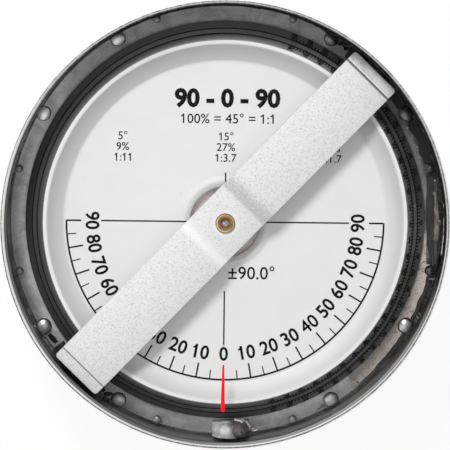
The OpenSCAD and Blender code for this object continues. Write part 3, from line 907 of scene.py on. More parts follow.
@dataclass(frozen=True)
class Brass(Finish):
    """Turned brass, from bright to smoked."""

    colour: Colour = tint(0.50, 0.37, 0.16)
    smoke: Colour = tint(0.20, 0.13, 0.05)
    roughness: float = 0.3

    def turned(self, web: Web, place: Wire, marks: Wire) -> Wire:
        """Darkens the colour by turning marks and tarnish.

        Args:
            web: the material's nodes.
            place: the place on the piece.
            marks: the turning marks.

        Returns:
            The colour.
        """
        tarnish = web.cloud(place, 1.2, 3.0).rising(0.4, 0.75)
        return web.blend(tarnish * 0.6 + marks * 0.2, self.colour, self.smoke)

    def shader(self, web: Web) -> Wire:
        """Makes the turned metal.

        Args:
            web: the material's nodes.

        Returns:
            The surface.
        """
        place = web.place()
        marks = web.round_marks(place, 2.0, 14.0)
        return web.surface(Base_Color=self.turned(web, place, marks), Metallic=1.0,
                           Roughness=self.roughness + 0.2 * marks, Normal=web.dents(marks, 0.01, 0.6))


@dataclass(frozen=True)
class ScrewBrass(Brass):
    """Brass of the bearing screw: a rim made pale on its left side as painted light, a brown countersink with
    painted light that turns it amber towards the upper right, and a dark outer edge.
    """

    step_r: float = 0.46
    rim_r: float = 0.78
    edge_r: float = 0.93
    pale: Colour = tint(0.78, 0.62, 0.44)
    amber: Colour = tint(0.80, 0.52, 0.15)
    brown: Colour = tint(0.62, 0.46, 0.28)
    edge: Colour = tint(0.08, 0.05, 0.04)
    amber_side: Side = Side(55.0, -0.3, 0.9)
    pale_side: Side = Side(200.0, -0.8, 0.8)

    def turned(self, web: Web, place: Wire, marks: Wire) -> Wire:
        """Colours the screw by radius, and by bearing as painted light.

        Args:
            web: the material's nodes.
            place: the place on the screw.
            marks: the turning marks.

        Returns:
            The colour.
        """
        radius = web.radius(place)
        bowl = web.layered(
            # Painted light: the countersink turns amber on one side
            self.brown, (web.on_side(place, self.amber_side), self.amber),
            (radius.near(self.step_r, 0.09) * 0.7, self.edge),
        )
        # Painted light: the rim is paler on its left side
        rim = web.blend(web.on_side(place, self.pale_side), self.colour, self.pale)
        return web.layered(
            bowl, (radius.rising(self.rim_r - 0.04, self.rim_r + 0.02), rim),
            (radius.near(self.rim_r, 0.07) * 0.4, self.brown), (marks * 0.25, self.smoke),
            (radius.rising(self.edge_r - 0.05, self.edge_r), self.edge),
        )


@dataclass(frozen=True)
class Steel(Finish):
    """Polished steel of the axle."""

    level: float = 0.62

    def shader(self, web: Web) -> Wire:
        """Leaves faint turning marks.

        Args:
            web: the material's nodes.

        Returns:
            The surface.
        """
        marks = web.round_marks(web.place(), 2.0, 20.0)
        return web.surface(Base_Color=web.shade(self.level - 0.15 * marks), Metallic=1.0,
                           Roughness=0.2 + 0.15 * marks)


@dataclass(frozen=True)
class Jewel(Finish):
    """Pink bearing jewel, polished."""

    pink: Colour = tint(0.50, 0.43, 0.44)
    dusk: Colour = tint(0.30, 0.25, 0.26)
    setting: Colour = tint(0.12, 0.09, 0.07)
    setting_r: float = 0.34
    hole: Colour = grey(0.03)
    hole_spot: Triple = (-0.08, 0.16, 0.12)
    blush: Colour = tint(0.80, 0.70, 0.70)
    blush_spot: Triple = (0.06, -0.20, 0.12)
    glint: Colour = grey(0.95)
    glint_spot: Triple = (-0.14, -0.02, 0.13)

    def shader(self, web: Web) -> Wire:
        """Lays the axle's hole and two painted highlights on a cloudy pink.

        Args:
            web: the material's nodes.

        Returns:
            The surface.
        """
        place = web.place()
        colour = web.layered(
            self.pink, (web.cloud(place, 6.0, 2.0).rising(0.35, 0.6), self.dusk),
            (web.radius(place).near(self.setting_r, 0.10) * 0.8, self.setting),
            (web.spot(place, *self.hole_spot), self.hole),
            # Painted highlights: two pale spots
            (web.spot(place, *self.blush_spot), self.blush),
            (web.spot(place, *self.glint_spot), self.glint),
        )
        return web.surface(Base_Color=colour, Roughness=0.2, IOR=1.2)


@dataclass(frozen=True)
class PegPlastic(Finish):
    """Glossy grey of the peg ends under the liquid."""

    level: float = 0.62
    swing: float = 0.75
    dimming: float = 0.0
    metallic: float = 0.85
    lift: float = 0.0
    bright_way: Triple = (-0.72, -0.66, 0.0)
    dim_side: Side = Side(45.0, 0.55, 0.95)
    lift_side: Side = Side(146.0, 0.8, 1.0)

    def shader(self, web: Web) -> Wire:
        """Makes a cloudy grey with painted light, paler where the dome faces the light under the liquid, with
        painted shade on one side of the case and more painted light on another.

        Args:
            web: the material's nodes.

        Returns:
            The surface.
        """
        place = web.place()
        cloud = web.cloud(place, 1.6, 3.0)
        # Painted shade on one side of the case
        level = self.level - 0.22 * cloud - self.dimming * web.on_side(place, self.dim_side)
        # Painted light where the dome faces the lower left
        level = level + self.swing * web.facing(self.bright_way)
        # Painted light on another side of the case
        level = level + self.lift * web.on_side(place, self.lift_side)
        return web.surface(
            Base_Color=web.shade(level.larger(0.03)), Metallic=self.metallic,
            Roughness=0.30 + 0.15 * cloud, Normal=web.dents(cloud, 0.05, 0.5),
        )


@dataclass(frozen=True)
class Ink(Finish):
    """Printed ink, slightly worn."""

    colour: Colour = grey(0.004)
    worn: Colour = grey(0.05)

    def shader(self, web: Web) -> Wire:
        """Leaves small worn spots in the ink.

        Args:
            web: the material's nodes.

        Returns:
            The surface.
        """
        place = web.place()
        wear = web.cloud(place, 3.0, 3.0).rising(0.55, 0.8)
        colour = web.blend(wear * 0.5, self.colour, self.worn)
        return web.surface(Base_Color=colour, Roughness=0.5, IOR=WET_IOR)


@dataclass(frozen=True)
class ClearPlastic(Finish):
    """Clear plastic that lets light straight through and mirrors more at a glance."""

    gloss: float = 0.004
    glance: float = 0.7
    haze: float = 0.0
    wet_walls: tuple[float, ...] = ()
    clear: Colour = grey(0.985)
    sheen: Colour = grey(0.8)

    def shader(self, web: Web) -> Wire:
        """Mixes a clear layer with a glossy one by the angle of sight; walls in the liquid stay clear.

        Args:
            web: the material's nodes.

        Returns:
            The surface.
        """
        place = web.place()
        facing = web.node("ShaderNodeLayerWeight", None, {"Blend": 0.5}, "Facing")
        share = self.gloss + self.glance * facing ** 5
        for wall_r in self.wet_walls:
            share = share * (1 - 0.9 * web.radius(place).near(wall_r, 0.04))
        clear = web.node("ShaderNodeBsdfTransparent", None, {0: self.clear})
        gloss = web.surface(Base_Color=self.sheen, Metallic=1.0,
                            Roughness=0.04 + self.haze * web.cloud(place, 2.0, 4.0))
        return web.node("ShaderNodeMixShader", None, {0: share, 1: clear, 2: gloss})


@dataclass(frozen=True)
class StudioFloor(Finish):
    """Pale floor that reads as white and keeps the object's shadow."""

    level: float = 0.92
    lit: float = 0.9

    def shader(self, web: Web) -> Wire:
        """Makes a matt floor, with a white share for the camera, gloss and glass.

        Args:
            web: the material's nodes.

        Returns:
            The surface.
        """
        matt = web.node("ShaderNodeBsdfDiffuse", None, {"Color": grey(self.level)})
        white = web.node("ShaderNodeEmission", None, {"Color": grey(1.0), "Strength": 1.0})
        return web.node("ShaderNodeMixShader", None, {0: web.seen() * self.lit, 1: matt, 2: white})


# Forms


def held(share: float) -> float:
    """A share, held between 0 and 1."""
    return min(max(share, 0.0), 1.0)


def heading(way: float) -> Vector:
    """The flat unit vector at an angle in radians."""
    return Vector((math.cos(way), math.sin(way), 0.0))


def drawn_to(corner: Vector, scale: float, rise: float = 0.0) -> Vector:
    """A corner with its distance from the axle's line scaled, and raised."""
    return Vector((corner.x * scale, corner.y * scale, corner.z + rise))


def about_z(degrees: float) -> Matrix:
    """A turn round Z, the axle's line."""
    return Matrix.Rotation(math.radians(degrees), 4, "Z")


def added(name: str, data: bpy.types.ID) -> bpy.types.Object:
    """Adds an object to the scene.

    Args:
        name: its name.
        data: its mesh, curve, light or camera.

    Returns:
        The object.
    """
    made = bpy.data.objects.new(name, data)
    bpy.context.scene.collection.objects.link(made)
    return made


class Form:
    """A mesh in the making, in millimetres."""

    def __init__(self) -> None:
        """Starts empty."""
        self.mesh = bmesh.new()

    def loop(self, points: Iterable[Vector]) -> list[bmesh.types.BMEdge]:
        """Adds a closed outline through some points, and gives its edges."""
        corners = [self.mesh.verts.new(point) for point in points]
        return [self.mesh.edges.new(pair) for pair in zip(corners, corners[1:] + corners[:1])]

    def turned(self, section: Sequence[Pair], steps: int) -> "Form":
        """Turns a closed section a full turn round Z.

        Args:
            section: its (radius, height) corners.
            steps: how many steps the turn has.

        Returns:
            This form.
        """
        edges = self.loop(Vector((radius, 0.0, height)) for radius, height in section)
        verts = list({vert for edge in edges for vert in edge.verts})
        bmesh.ops.spin(self.mesh, geom=verts + edges, cent=(0, 0, 0), axis=(0, 0, 1),
                       angle=FULL_TURN, steps=steps, use_merge=True)
        return self.outward()

    def swept(self, section: Sequence[Pair], start: float, end: float, steps: int) -> "Form":
        """Turns a closed section part of the way round Z, and closes its ends.

        Args:
            section: its (radius, height) corners.
            start: the angle that it starts from, in degrees.
            end: the angle that it ends at.
            steps: how many steps the turn has.

        Returns:
            This form.
        """
        edges = self.loop(about_z(start) @ Vector((radius, 0.0, height)) for radius, height in section)
        verts = list({vert for edge in edges for vert in edge.verts})
        face = bmesh.ops.contextual_create(self.mesh, geom=edges)["faces"]
        bmesh.ops.spin(self.mesh, geom=verts + edges + face, cent=(0, 0, 0), axis=(0, 0, 1),
                       angle=math.radians(end - start), steps=steps, use_merge=False)
        return self.outward()

    def prism(self, outline: Sequence[Vector], along: Vector) -> "Form":
        """Extrudes a flat outline.

        Args:
            outline: its corners.
            along: the way and length of the extrusion.

        Returns:
            This form.
        """
        edges = self.loop(outline)
        face = bmesh.ops.contextual_create(self.mesh, geom=edges)["faces"]
        pulled = bmesh.ops.extrude_face_region(self.mesh, geom=face)["geom"]
        moved = [part for part in pulled if isinstance(part, bmesh.types.BMVert)]
        bmesh.ops.translate(self.mesh, verts=moved, vec=along)
        return self.outward()

    def block(self, place: Matrix, size: Triple) -> "Form":
        """Adds a block of a size, its middle and turn given by a matrix."""
        bmesh.ops.create_cube(self.mesh, size=1.0, matrix=place @ Matrix.Diagonal((*size, 1.0)))
        return self

    def blob(self, middle: Vector, size: Triple, rough: float, turn: float = 0.0, detail: int = 3) -> "Form":
        """Adds a rounded lump of glue.

        Args:
            middle: its middle.
            size: its full length, width and height.
            rough: how uneven it is, as a share of its size.
            turn: its turn round Z, in degrees.
            detail: subdivisions of the ball that it starts from.

        Returns:
            This form.
        """
        made = bmesh.ops.create_icosphere(self.mesh, subdivisions=detail, radius=0.5)["verts"]
        for vert in made:
            vert.co *= 1.0 + rough * noise.noise(vert.co * LUMP_WAVES + middle * LUMP_SHIFT)
        place = Matrix.Translation(middle) @ about_z(turn)
        bmesh.ops.transform(self.mesh, matrix=place @ Matrix.Diagonal((*size, 1.0)), verts=made)
        return self

    def bevelled(self, wanted: Callable[[bmesh.types.BMEdge], bool], width: float, segments: int) -> "Form":
        """Rounds some of the edges.

        Args:
            wanted: the test that picks them out.
            width: the width of the rounding.
            segments: how many faces it has across.

        Returns:
            This form.
        """
        edges = [edge for edge in self.mesh.edges if wanted(edge)]
        bmesh.ops.bevel(self.mesh, geom=edges, offset=width, offset_type="OFFSET", affect="EDGES",
                        segments=segments, profile=0.5, material=-1, clamp_overlap=True)
        return self

    def moved(self, change: Callable[[Vector], Vector]) -> "Form":
        """Moves every corner.

        Args:
            change: gives a corner's new place.

        Returns:
            This form.
        """
        for vert in self.mesh.verts:
            vert.co = change(vert.co)
        return self

    def copied(self, mesh: bpy.types.Mesh, place: Matrix) -> "Form":
        """Adds a copy of a mesh.

        Args:
            mesh: the mesh.
            place: the copy's place.

        Returns:
            This form.
        """
        copy = mesh.copy()
        copy.transform(place)
        self.mesh.from_mesh(copy)
        bpy.data.meshes.remove(copy)
        return self

    def joined(self, other: "Form", place: Matrix) -> "Form":
        """Adds another form, and frees it.

        Args:
            other: the other form.
            place: its place in this one.

        Returns:
            This form.
        """
        other.mesh.transform(place)
        made = bpy.data.meshes.new("joined")
        other.mesh.to_mesh(made)
        other.mesh.free()
        self.mesh.from_mesh(made)
        bpy.data.meshes.remove(made)
        return self

    def outward(self) -> "Form":
        """Merges doubled corners and turns the faces outwards.

        Returns:
            This form.
        """
        bmesh.ops.remove_doubles(self.mesh, verts=self.mesh.verts[:], dist=MERGE)
        bmesh.ops.recalc_face_normals(self.mesh, faces=self.mesh.faces[:])
        return self

    def piece(self, name: str, body: Body, slot: Slot, finish: Finish, crease: float = 35.0,
              replaces: Sequence[str] = ()) -> bpy.types.Object:
        """Makes the form a dressed piece of the scene.

        Args:
            name: the piece's name.
            body: the body that it rides on.
            slot: the record's slot for its finish; not used.
            finish: its finish.
            crease: the angle in degrees past which an edge stays sharp.
            replaces: the CAD nodes that it stands for.

        Returns:
            The piece.
        """
        bmesh.ops.scale(self.mesh, vec=(MM, MM, MM), verts=self.mesh.verts[:])
        made = bpy.data.meshes.new(name)
        self.mesh.to_mesh(made)
        self.mesh.free()
        for face in made.polygons:
            face.use_smooth = True
        made.set_sharp_from_angle(angle=math.radians(crease))
        piece = added(name, made)
        finish.put_on(piece)
        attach(piece, body.value)
        if replaces:
            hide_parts(*replaces)
        log.info("%s: %d faces on %s", name, len(made.polygons), body.value)
        return piece


@dataclass(frozen=True)
class Lettering:
    """Printed figures, as thin closed solids."""

    thickness: float = 0.02
    weight: float = 0.0
    copy_share: float = 0.55
    squeeze: float = 1.0
    smoothness: int = 3
    stem_w: float = 0.10
    flag_len: float = 0.21
    flag_turn: float = 38.0
    flag_back: float = 0.05
    flag_up: float = 0.56

    def _mesh(self, text: str) -> bpy.types.Mesh:
        """Sets a text at a size of 1, centred from side to side on its base line.

        Args:
            text: the text.

        Returns:
            Its mesh.
        """
        curve = bpy.data.curves.new("lettering", "FONT")
        curve.body = text
        curve.align_x = "CENTER"
        curve.resolution_u = self.smoothness
        curve.offset = 0.0 if "4" in text else self.weight
        curve.extrude = 0.5
        holder = added("lettering", curve)
        made = bpy.data.meshes.new_from_object(holder.evaluated_get(bpy.context.evaluated_depsgraph_get()))
        bpy.data.objects.remove(holder)
        bpy.data.curves.remove(curve)
        return made

    def _thickened(self, made: bpy.types.Mesh) -> None:
        """Makes strokes bolder with shifted copies, since an offset curve closes the hole of a figure 4.

        Args:
            made: the mesh of the text.
        """
        form = Form()
        reach = self.copy_share * self.weight
        for across in (-reach, reach):
            for up in (-reach, reach):
                form.copied(made, Matrix.Translation((across, up, 0.0)))
        form.mesh.to_mesh(made)
        form.mesh.free()

    def _with_flags(self, text: str, made: bpy.types.Mesh) -> None:
        """Gives every figure 1 of a text its flag, which the plain font leaves out.

        Args:
            text: the text.
            made: its mesh.
        """
        start = min(vert.co.x for vert in made.vertices)
        form = Form()
        form.mesh.from_mesh(made)
        for index, sign in enumerate(text):
            if sign != "1":
                continue
            part = self._mesh(text[:index + 1])
            ends = [vert.co.x for vert in part.vertices]
            bpy.data.meshes.remove(part)
            stem = start + max(ends) - min(ends) - self.stem_w
            spot = Matrix.Translation((stem - self.flag_back, self.flag_up, 0.0))
            form.block(spot @ about_z(self.flag_turn), (self.flag_len, self.stem_w * 0.85, 1.0))
        form.mesh.to_mesh(made)
        form.mesh.free()

    def printed(self, form: Form, text: str, height: float, place: Matrix) -> None:
        """Adds a text to a form, its middle at a place.

        Args:
            form: the form.
            text: the figures.
            height: the height of a figure.
            place: the place, with its X axis along the text and its Z axis out of it.
        """
        figure = self._mesh("1")
        tall = max(vert.co.y for vert in figure.vertices)
        bpy.data.meshes.remove(figure)
        made = self._mesh(text)
        if "4" in text:
            self._thickened(made)
        if "1" in text:
            self._with_flags(text, made)
        across = [vert.co.x for vert in made.vertices]
        centre = Matrix.Translation((-(min(across) + max(across)) / 2, -tall / 2, 0.0))
        scale = Matrix.Diagonal((height / tall * self.squeeze, height / tall, self.thickness, 1.0))
        made.transform(scale @ centre)
        form.copied(made, place)
        bpy.data.meshes.remove(made)


# Sub-assemblies


@dataclass
class CaseShell:
    """The aluminium cup and the black bead that seals the window's edge."""

    wall_r: float = 22.13
    wall_gap: float = 0.02
    window_z: float = 11.0
    seat_r: float = 21.95
    seat_depth: float = 0.15
    lip_w: float = 0.14
    shoulder_w: float = 0.02
    shoulder_h: float = 0.07
    bead_rise: float = 0.16
    least_w: float = 0.03
    thin_w: float = 0.04
    wide_w: float = 0.24
    wide_way: float = 30.0
    lower_w: float = 0.08
    lower_way: float = 300.0
    tooth: float = 0.10
    fine_teeth: float = 62.0
    coarse_teeth: float = 17.0
    steps: int = 1080

    def build(self) -> None:
        """Dresses the cup and makes the ragged bead."""
        TurnedAluminium("finish_turned_aluminium").put_on(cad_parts["case_cup"])
        self.window_bead()

    def bead_width(self, way: float) -> float:
        """Gives the bead's width: wide at the top right and the lower right, thin at the left.

        Args:
            way: the angle round the axle, in radians.

        Returns:
            The width.
        """
        side = 0.5 + 0.5 * math.cos(way - math.radians(self.wide_way))
        below = max(math.cos(way - math.radians(self.lower_way)), 0.0)
        return self.thin_w + self.wide_w * side ** 2 + self.lower_w * below ** 4

    def window_bead(self) -> bpy.types.Object:
        """Makes a bead with a ragged inner edge, in place of the plain one.

        Returns:
            The bead.
        """
        seat, top, deep = self.seat_r, self.window_z, self.seat_depth
        section = (
            (seat - self.lip_w, top), (seat, top), (seat + deep, top - deep), (self.wall_r, top - deep),
            (self.wall_r, top + self.bead_rise), (seat - self.shoulder_w, top + self.shoulder_h),
        )

        def ragged(corner: Vector) -> Vector:
            """Draws a corner of the lip in by the bead's width and its teeth.

            Args:
                corner: the corner.

            Returns:
                Its new place.
            """
            radius = math.hypot(corner.x, corner.y)
            if radius > self.seat_r - self.lip_w / 2:
                return corner
            way = math.atan2(corner.y, corner.x)
            teeth = self.tooth * noise.noise(heading(way) * self.fine_teeth)
            teeth += 0.6 * self.tooth * noise.noise(heading(way) * self.coarse_teeth)
            drawn = self.wall_r - self.wall_gap - self.bead_width(way) + teeth
            return drawn_to(corner, min(drawn, self.seat_r - self.least_w) / radius)

        form = Form().turned(section, self.steps).moved(ragged)
        return form.piece("window_bead", Body.CASE, Slot.SEALANT,
                          SealantPaint("finish_bead"), replaces=("window_seal",))


@dataclass
class Capsule:
    """The clear cover, the base plate with its pegs, and the sealant between them.

    The sections of the sealant, the rings and the loops are pairs of a width and a height: from the
    skirt inwards, or from a ring's inner radius outwards, and up from what they lie on. The waves of
    the sealant's edge are pairs of how fine and how strong they are.
    """

    deck_z: float = 3.5
    skirt_r: float = 21.73
    wet_walls: Pair = (21.75, 22.1)
    sealant: tuple[Pair, ...] = ((0.18, 0.0), (0.0, 0.0), (0.0, 0.6), (0.04, 0.6), (0.10, 0.30), (0.15, 0.10))
    line_w: float = 0.05
    band_w: float = 0.53
    broad_w: float = 0.22
    band_from: float = -52.0
    band_rise: float = 12.0
    band_to: float = 64.0
    band_fall: float = 14.0
    broad_from: float = -14.0
    broad_rise: float = 8.0
    least_w: float = 0.012
    waves: tuple[Pair, ...] = ((14.0, 0.35), (41.0, 0.15))
    peg_ring_r: float = 21.3
    peg_room: float = 0.80
    peg_gap: float = 0.10
    peg_angles: tuple[float, ...] = (30.5, 59.5)
    small_ring_r: float = 21.47
    small_room: float = 0.50
    small_angles: tuple[float, ...] = (13.99, 71.3)
    rings: tuple[Pair, ...] = ((0.0, -0.14), (0.07, -0.14), (0.05, -0.03), (0.0, -0.03))
    pad_z: float = 3.7
    loops: tuple[Triple, ...] = ((20.93, -13.3, 0.50), (21.44, -14.0, 0.40))
    loop_section: tuple[Pair, ...] = ((0.0, -0.02), (0.08, -0.02), (0.05, 0.05))
    steps: int = 900
    ring_steps: int = 40

    def build(self) -> None:
        """Dresses the capsule's solids and lays the sealant."""
        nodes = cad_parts
        ClearPlastic("finish_cover", wet_walls=self.wet_walls).put_on(nodes["capsule_cover"])
        PlatePlastic("finish_plate").put_on(nodes["base_plate"])
        Moulded("finish_ring_grey", grey(0.16), grey(0.3), 0.3, 0.45).put_on(nodes["diaphragm_ring"])
        Moulded("finish_rubber", grey(0.02), grey(0.12), 0.3, 0.6).put_on(nodes["expansion_diaphragm"])
        # Pegs with painted shade on one side and painted light on another
        PegPlastic("finish_pegs", dimming=0.44, lift=0.38).put_on(nodes["locating_pegs"])
        small = PegPlastic("finish_small_pegs", 0.40, 0.26, 0.24, 0.45, dim_side=Side(15.0, 0.55, 0.95))
        small.put_on(nodes["small_pegs"])
        self.sealant_band()
        self.peg_rings()

    def band_width(self, way: float) -> float:
        """Gives the sealant's width: broad on the right side, a line elsewhere.

        Args:
            way: the angle round the axle, in radians.

        Returns:
            The width.
        """
        degrees = math.degrees(way)
        rise = held((degrees - self.band_from) / self.band_rise)
        fall = held((self.band_to - degrees) / self.band_fall)
        broad = held((degrees - self.broad_from) / self.broad_rise)
        return self.line_w + (self.band_w + self.broad_w * broad) * rise * fall

    @staticmethod
    def all_round(angles: Iterable[float]) -> list[float]:
        """The angles of pegs in all four quarters, from those of the first."""
        return [way for angle in angles for way in (angle, 180 - angle, 180 + angle, 360 - angle)]

    def free_width(self, way: float) -> float:
        """Gives the room that the pegs leave for the sealant.

        Args:
            way: the angle round the axle, in radians.

        Returns:
            The width that is free.
        """
        large = [(self.peg_ring_r, self.peg_room, angle) for angle in self.all_round(self.peg_angles)]
        small = [(self.small_ring_r, self.small_room, angle) for angle in self.all_round(self.small_angles)]
        free = self.skirt_r
        for ring_r, room, angle in large + small:
            away = ring_r * math.sin(way - math.radians(angle))
            if abs(away) < room and math.cos(way - math.radians(angle)) > 0:
                free = min(free, self.skirt_r - ring_r - math.sqrt(room ** 2 - away ** 2))
        return max(free, self.least_w)

    def sealant_band(self) -> bpy.types.Object:
        """Makes the black sealant at the foot of the skirt, in place of the plain line.

        Returns:
            The band.
        """
        section = [(self.skirt_r - width, self.deck_z + height) for width, height in self.sealant]
        foot_w = max(width for width, _ in self.sealant)

        def flowed(corner: Vector) -> Vector:
            """Draws a corner out to the sealant's width there.

            Args:
                corner: the corner.

            Returns:
                Its new place.
            """
            radius = math.hypot(corner.x, corner.y)
            share = (self.skirt_r - radius) / foot_w
            if share < 0.05:
                return corner
            way = math.atan2(corner.y, corner.x)
            waves = sum(swing * noise.noise(heading(way) * often) for often, swing in self.waves)
            width = min(self.band_width(way) * (1 + waves), self.free_width(way))
            return drawn_to(corner, (self.skirt_r - share * width) / radius)

        finish = SealantPaint("finish_sealant", 0.035, 0.22, 0.30, bottom_side=Side(270.0, 0.66, 0.92))
        form = Form().turned(section, self.steps).moved(flowed)
        return form.piece("sealant_band", Body.CASE, Slot.SEALANT, finish, replaces=("sealant_line",))

    def ring(self, section: Sequence[Pair], inner_r: float) -> Form:
        """Makes a small ring round Z.

        Args:
            section: its section, from its inner radius outwards.
            inner_r: that radius.

        Returns:
            The ring.
        """
        return Form().turned([(inner_r + width, height) for width, height in section], self.ring_steps)

    def peg_rings(self) -> bpy.types.Object:
        """Lays black rings of painted shadow close round the large pegs, just under the deck, and two dark
        loops on the light pad.

        Returns:
            The rings.
        """
        form = Form()
        # Painted shadow: black rings round the pegs' feet
        for way in self.all_round(self.peg_angles):
            ring = self.ring(self.rings, self.peg_room - self.peg_gap)
            form.joined(ring, about_z(way) @ Matrix.Translation((self.peg_ring_r, 0.0, self.deck_z)))
        for ring_r, way, loop_r in self.loops:
            ring = self.ring(self.loop_section, loop_r)
            form.joined(ring, about_z(way) @ Matrix.Translation((ring_r, 0.0, self.pad_z)))
        return form.piece("peg_rings", Body.CASE, Slot.SEALANT,
                          Moulded("finish_peg_ring", grey(0.006), grey(0.05), 0.15, 0.3))


@dataclass(frozen=True)
class Drop:
    """A drop or smear in the channel: where it is, its size and its turn from the tangent."""

    radius: float
    way: float
    length: float
    width: float
    height: float = 0.16
    turn: float = 0.0
    z: float = 3.52


@dataclass
class Sealing:
    """Drops of sealant, smears of glue and small bubbles in the channel round the card."""

    black: tuple[Drop, ...] = (
        Drop(21.25, 214.6, 0.95, 0.50, 0.5, 18.0), Drop(21.45, 211.8, 0.60, 0.22, 0.4, -20.0),
        Drop(21.35, 236.3, 0.80, 0.40, 0.4, 30.0), Drop(21.30, 234.6, 0.40, 0.35, 0.4),
        Drop(21.35, 56.6, 0.70, 0.35, 0.4, 35.0), Drop(21.20, 54.9, 0.50, 0.30, 0.4, -30.0),
        Drop(21.30, 35.6, 0.70, 0.45, 0.4, -20.0), Drop(21.40, -17.6, 1.30, 0.40, 0.3, 8.0),
        Drop(21.35, -24.5, 0.60, 0.25, 0.3, -14.0), Drop(21.50, -35.5, 1.20, 0.24, 0.3, 4.0),
        Drop(21.52, -43.0, 1.60, 0.22, 0.3, -2.0),
    )
    pale: tuple[Drop, ...] = (
        Drop(21.38, -62.6, 0.42, 0.30, 0.35, 20.0), Drop(21.45, -61.9, 0.26, 0.22, 0.4),
        Drop(21.48, -63.6, 0.40, 0.12, 0.3, -10.0), Drop(21.60, -26.3, 0.55, 0.10, 0.3, 55.0, 8.6),
        Drop(21.66, -25.2, 0.50, 0.08, 0.3, 60.0, 8.8), Drop(21.64, -27.3, 0.45, 0.08, 0.3, 50.0, 8.6),
        Drop(21.60, -15.2, 0.70, 0.07, 0.2, -75.0, 8.4),
        Drop(21.30, 14.6, 0.35, 0.20, 0.2, 30.0),
        Drop(20.75, 17.6, 0.50, 0.20, 0.12, 60.0), Drop(20.95, 20.5, 0.60, 0.16, 0.12, 40.0),
        Drop(20.80, 24.0, 0.45, 0.14, 0.12, -30.0),
    )
    bubbles: tuple[Drop, ...] = (
        Drop(16.77, 31.5, 0.13, 0.13, 0.13, 0.0, 9.42), Drop(19.07, 5.4, 0.12, 0.12, 0.12, 0.0, 9.42),
        Drop(21.45, 23.9, 0.15, 0.15, 0.15), Drop(20.7, 26.7, 0.14, 0.14, 0.14),
        Drop(21.50, 11.4, 0.15, 0.15, 0.15, 0.0, 8.0), Drop(21.55, 0.4, 0.16, 0.16, 0.16, 0.0, 7.9),
        Drop(21.34, -84.4, 0.19, 0.19, 0.19, 0.0, 7.15), Drop(21.3, 96.0, 0.09, 0.09, 0.09),
    )

    def build(self) -> None:
        """Lays the drops, smears and bubbles."""
        self.laid("sealant_drops", self.black, Slot.SEALANT,
                  Moulded("finish_drop_black", grey(0.008), grey(0.12), 0.3, 0.15), 0.9)
        self.laid("glue_smears", self.pale, Slot.SEALANT,
                  Moulded("finish_glue", tint(0.34, 0.31, 0.28), tint(0.12, 0.11, 0.10), 0.7, 0.2), 1.1)
        self.laid("bubbles", self.bubbles, Slot.CARD_WHITE,
                  Moulded("finish_bubble", grey(0.75), grey(0.4), 0.3, 0.1), 0.2)

    @staticmethod
    def laid(name: str, drops: Iterable[Drop], slot: Slot, finish: Finish, rough: float) -> bpy.types.Object:
        """Makes one piece of all the drops of a kind.

        Args:
            name: the piece's name.
            drops: the drops.
            slot: the record's slot of their finish.
            finish: their finish.
            rough: how uneven they are.

        Returns:
            The piece.
        """
        form = Form()
        for drop in drops:
            spot = about_z(drop.way) @ Vector((drop.radius, 0.0, drop.z))
            form.blob(spot, (drop.length, drop.width, drop.height), rough, drop.way + 90 + drop.turn)
        return form.piece(name, Body.CASE, slot, finish)


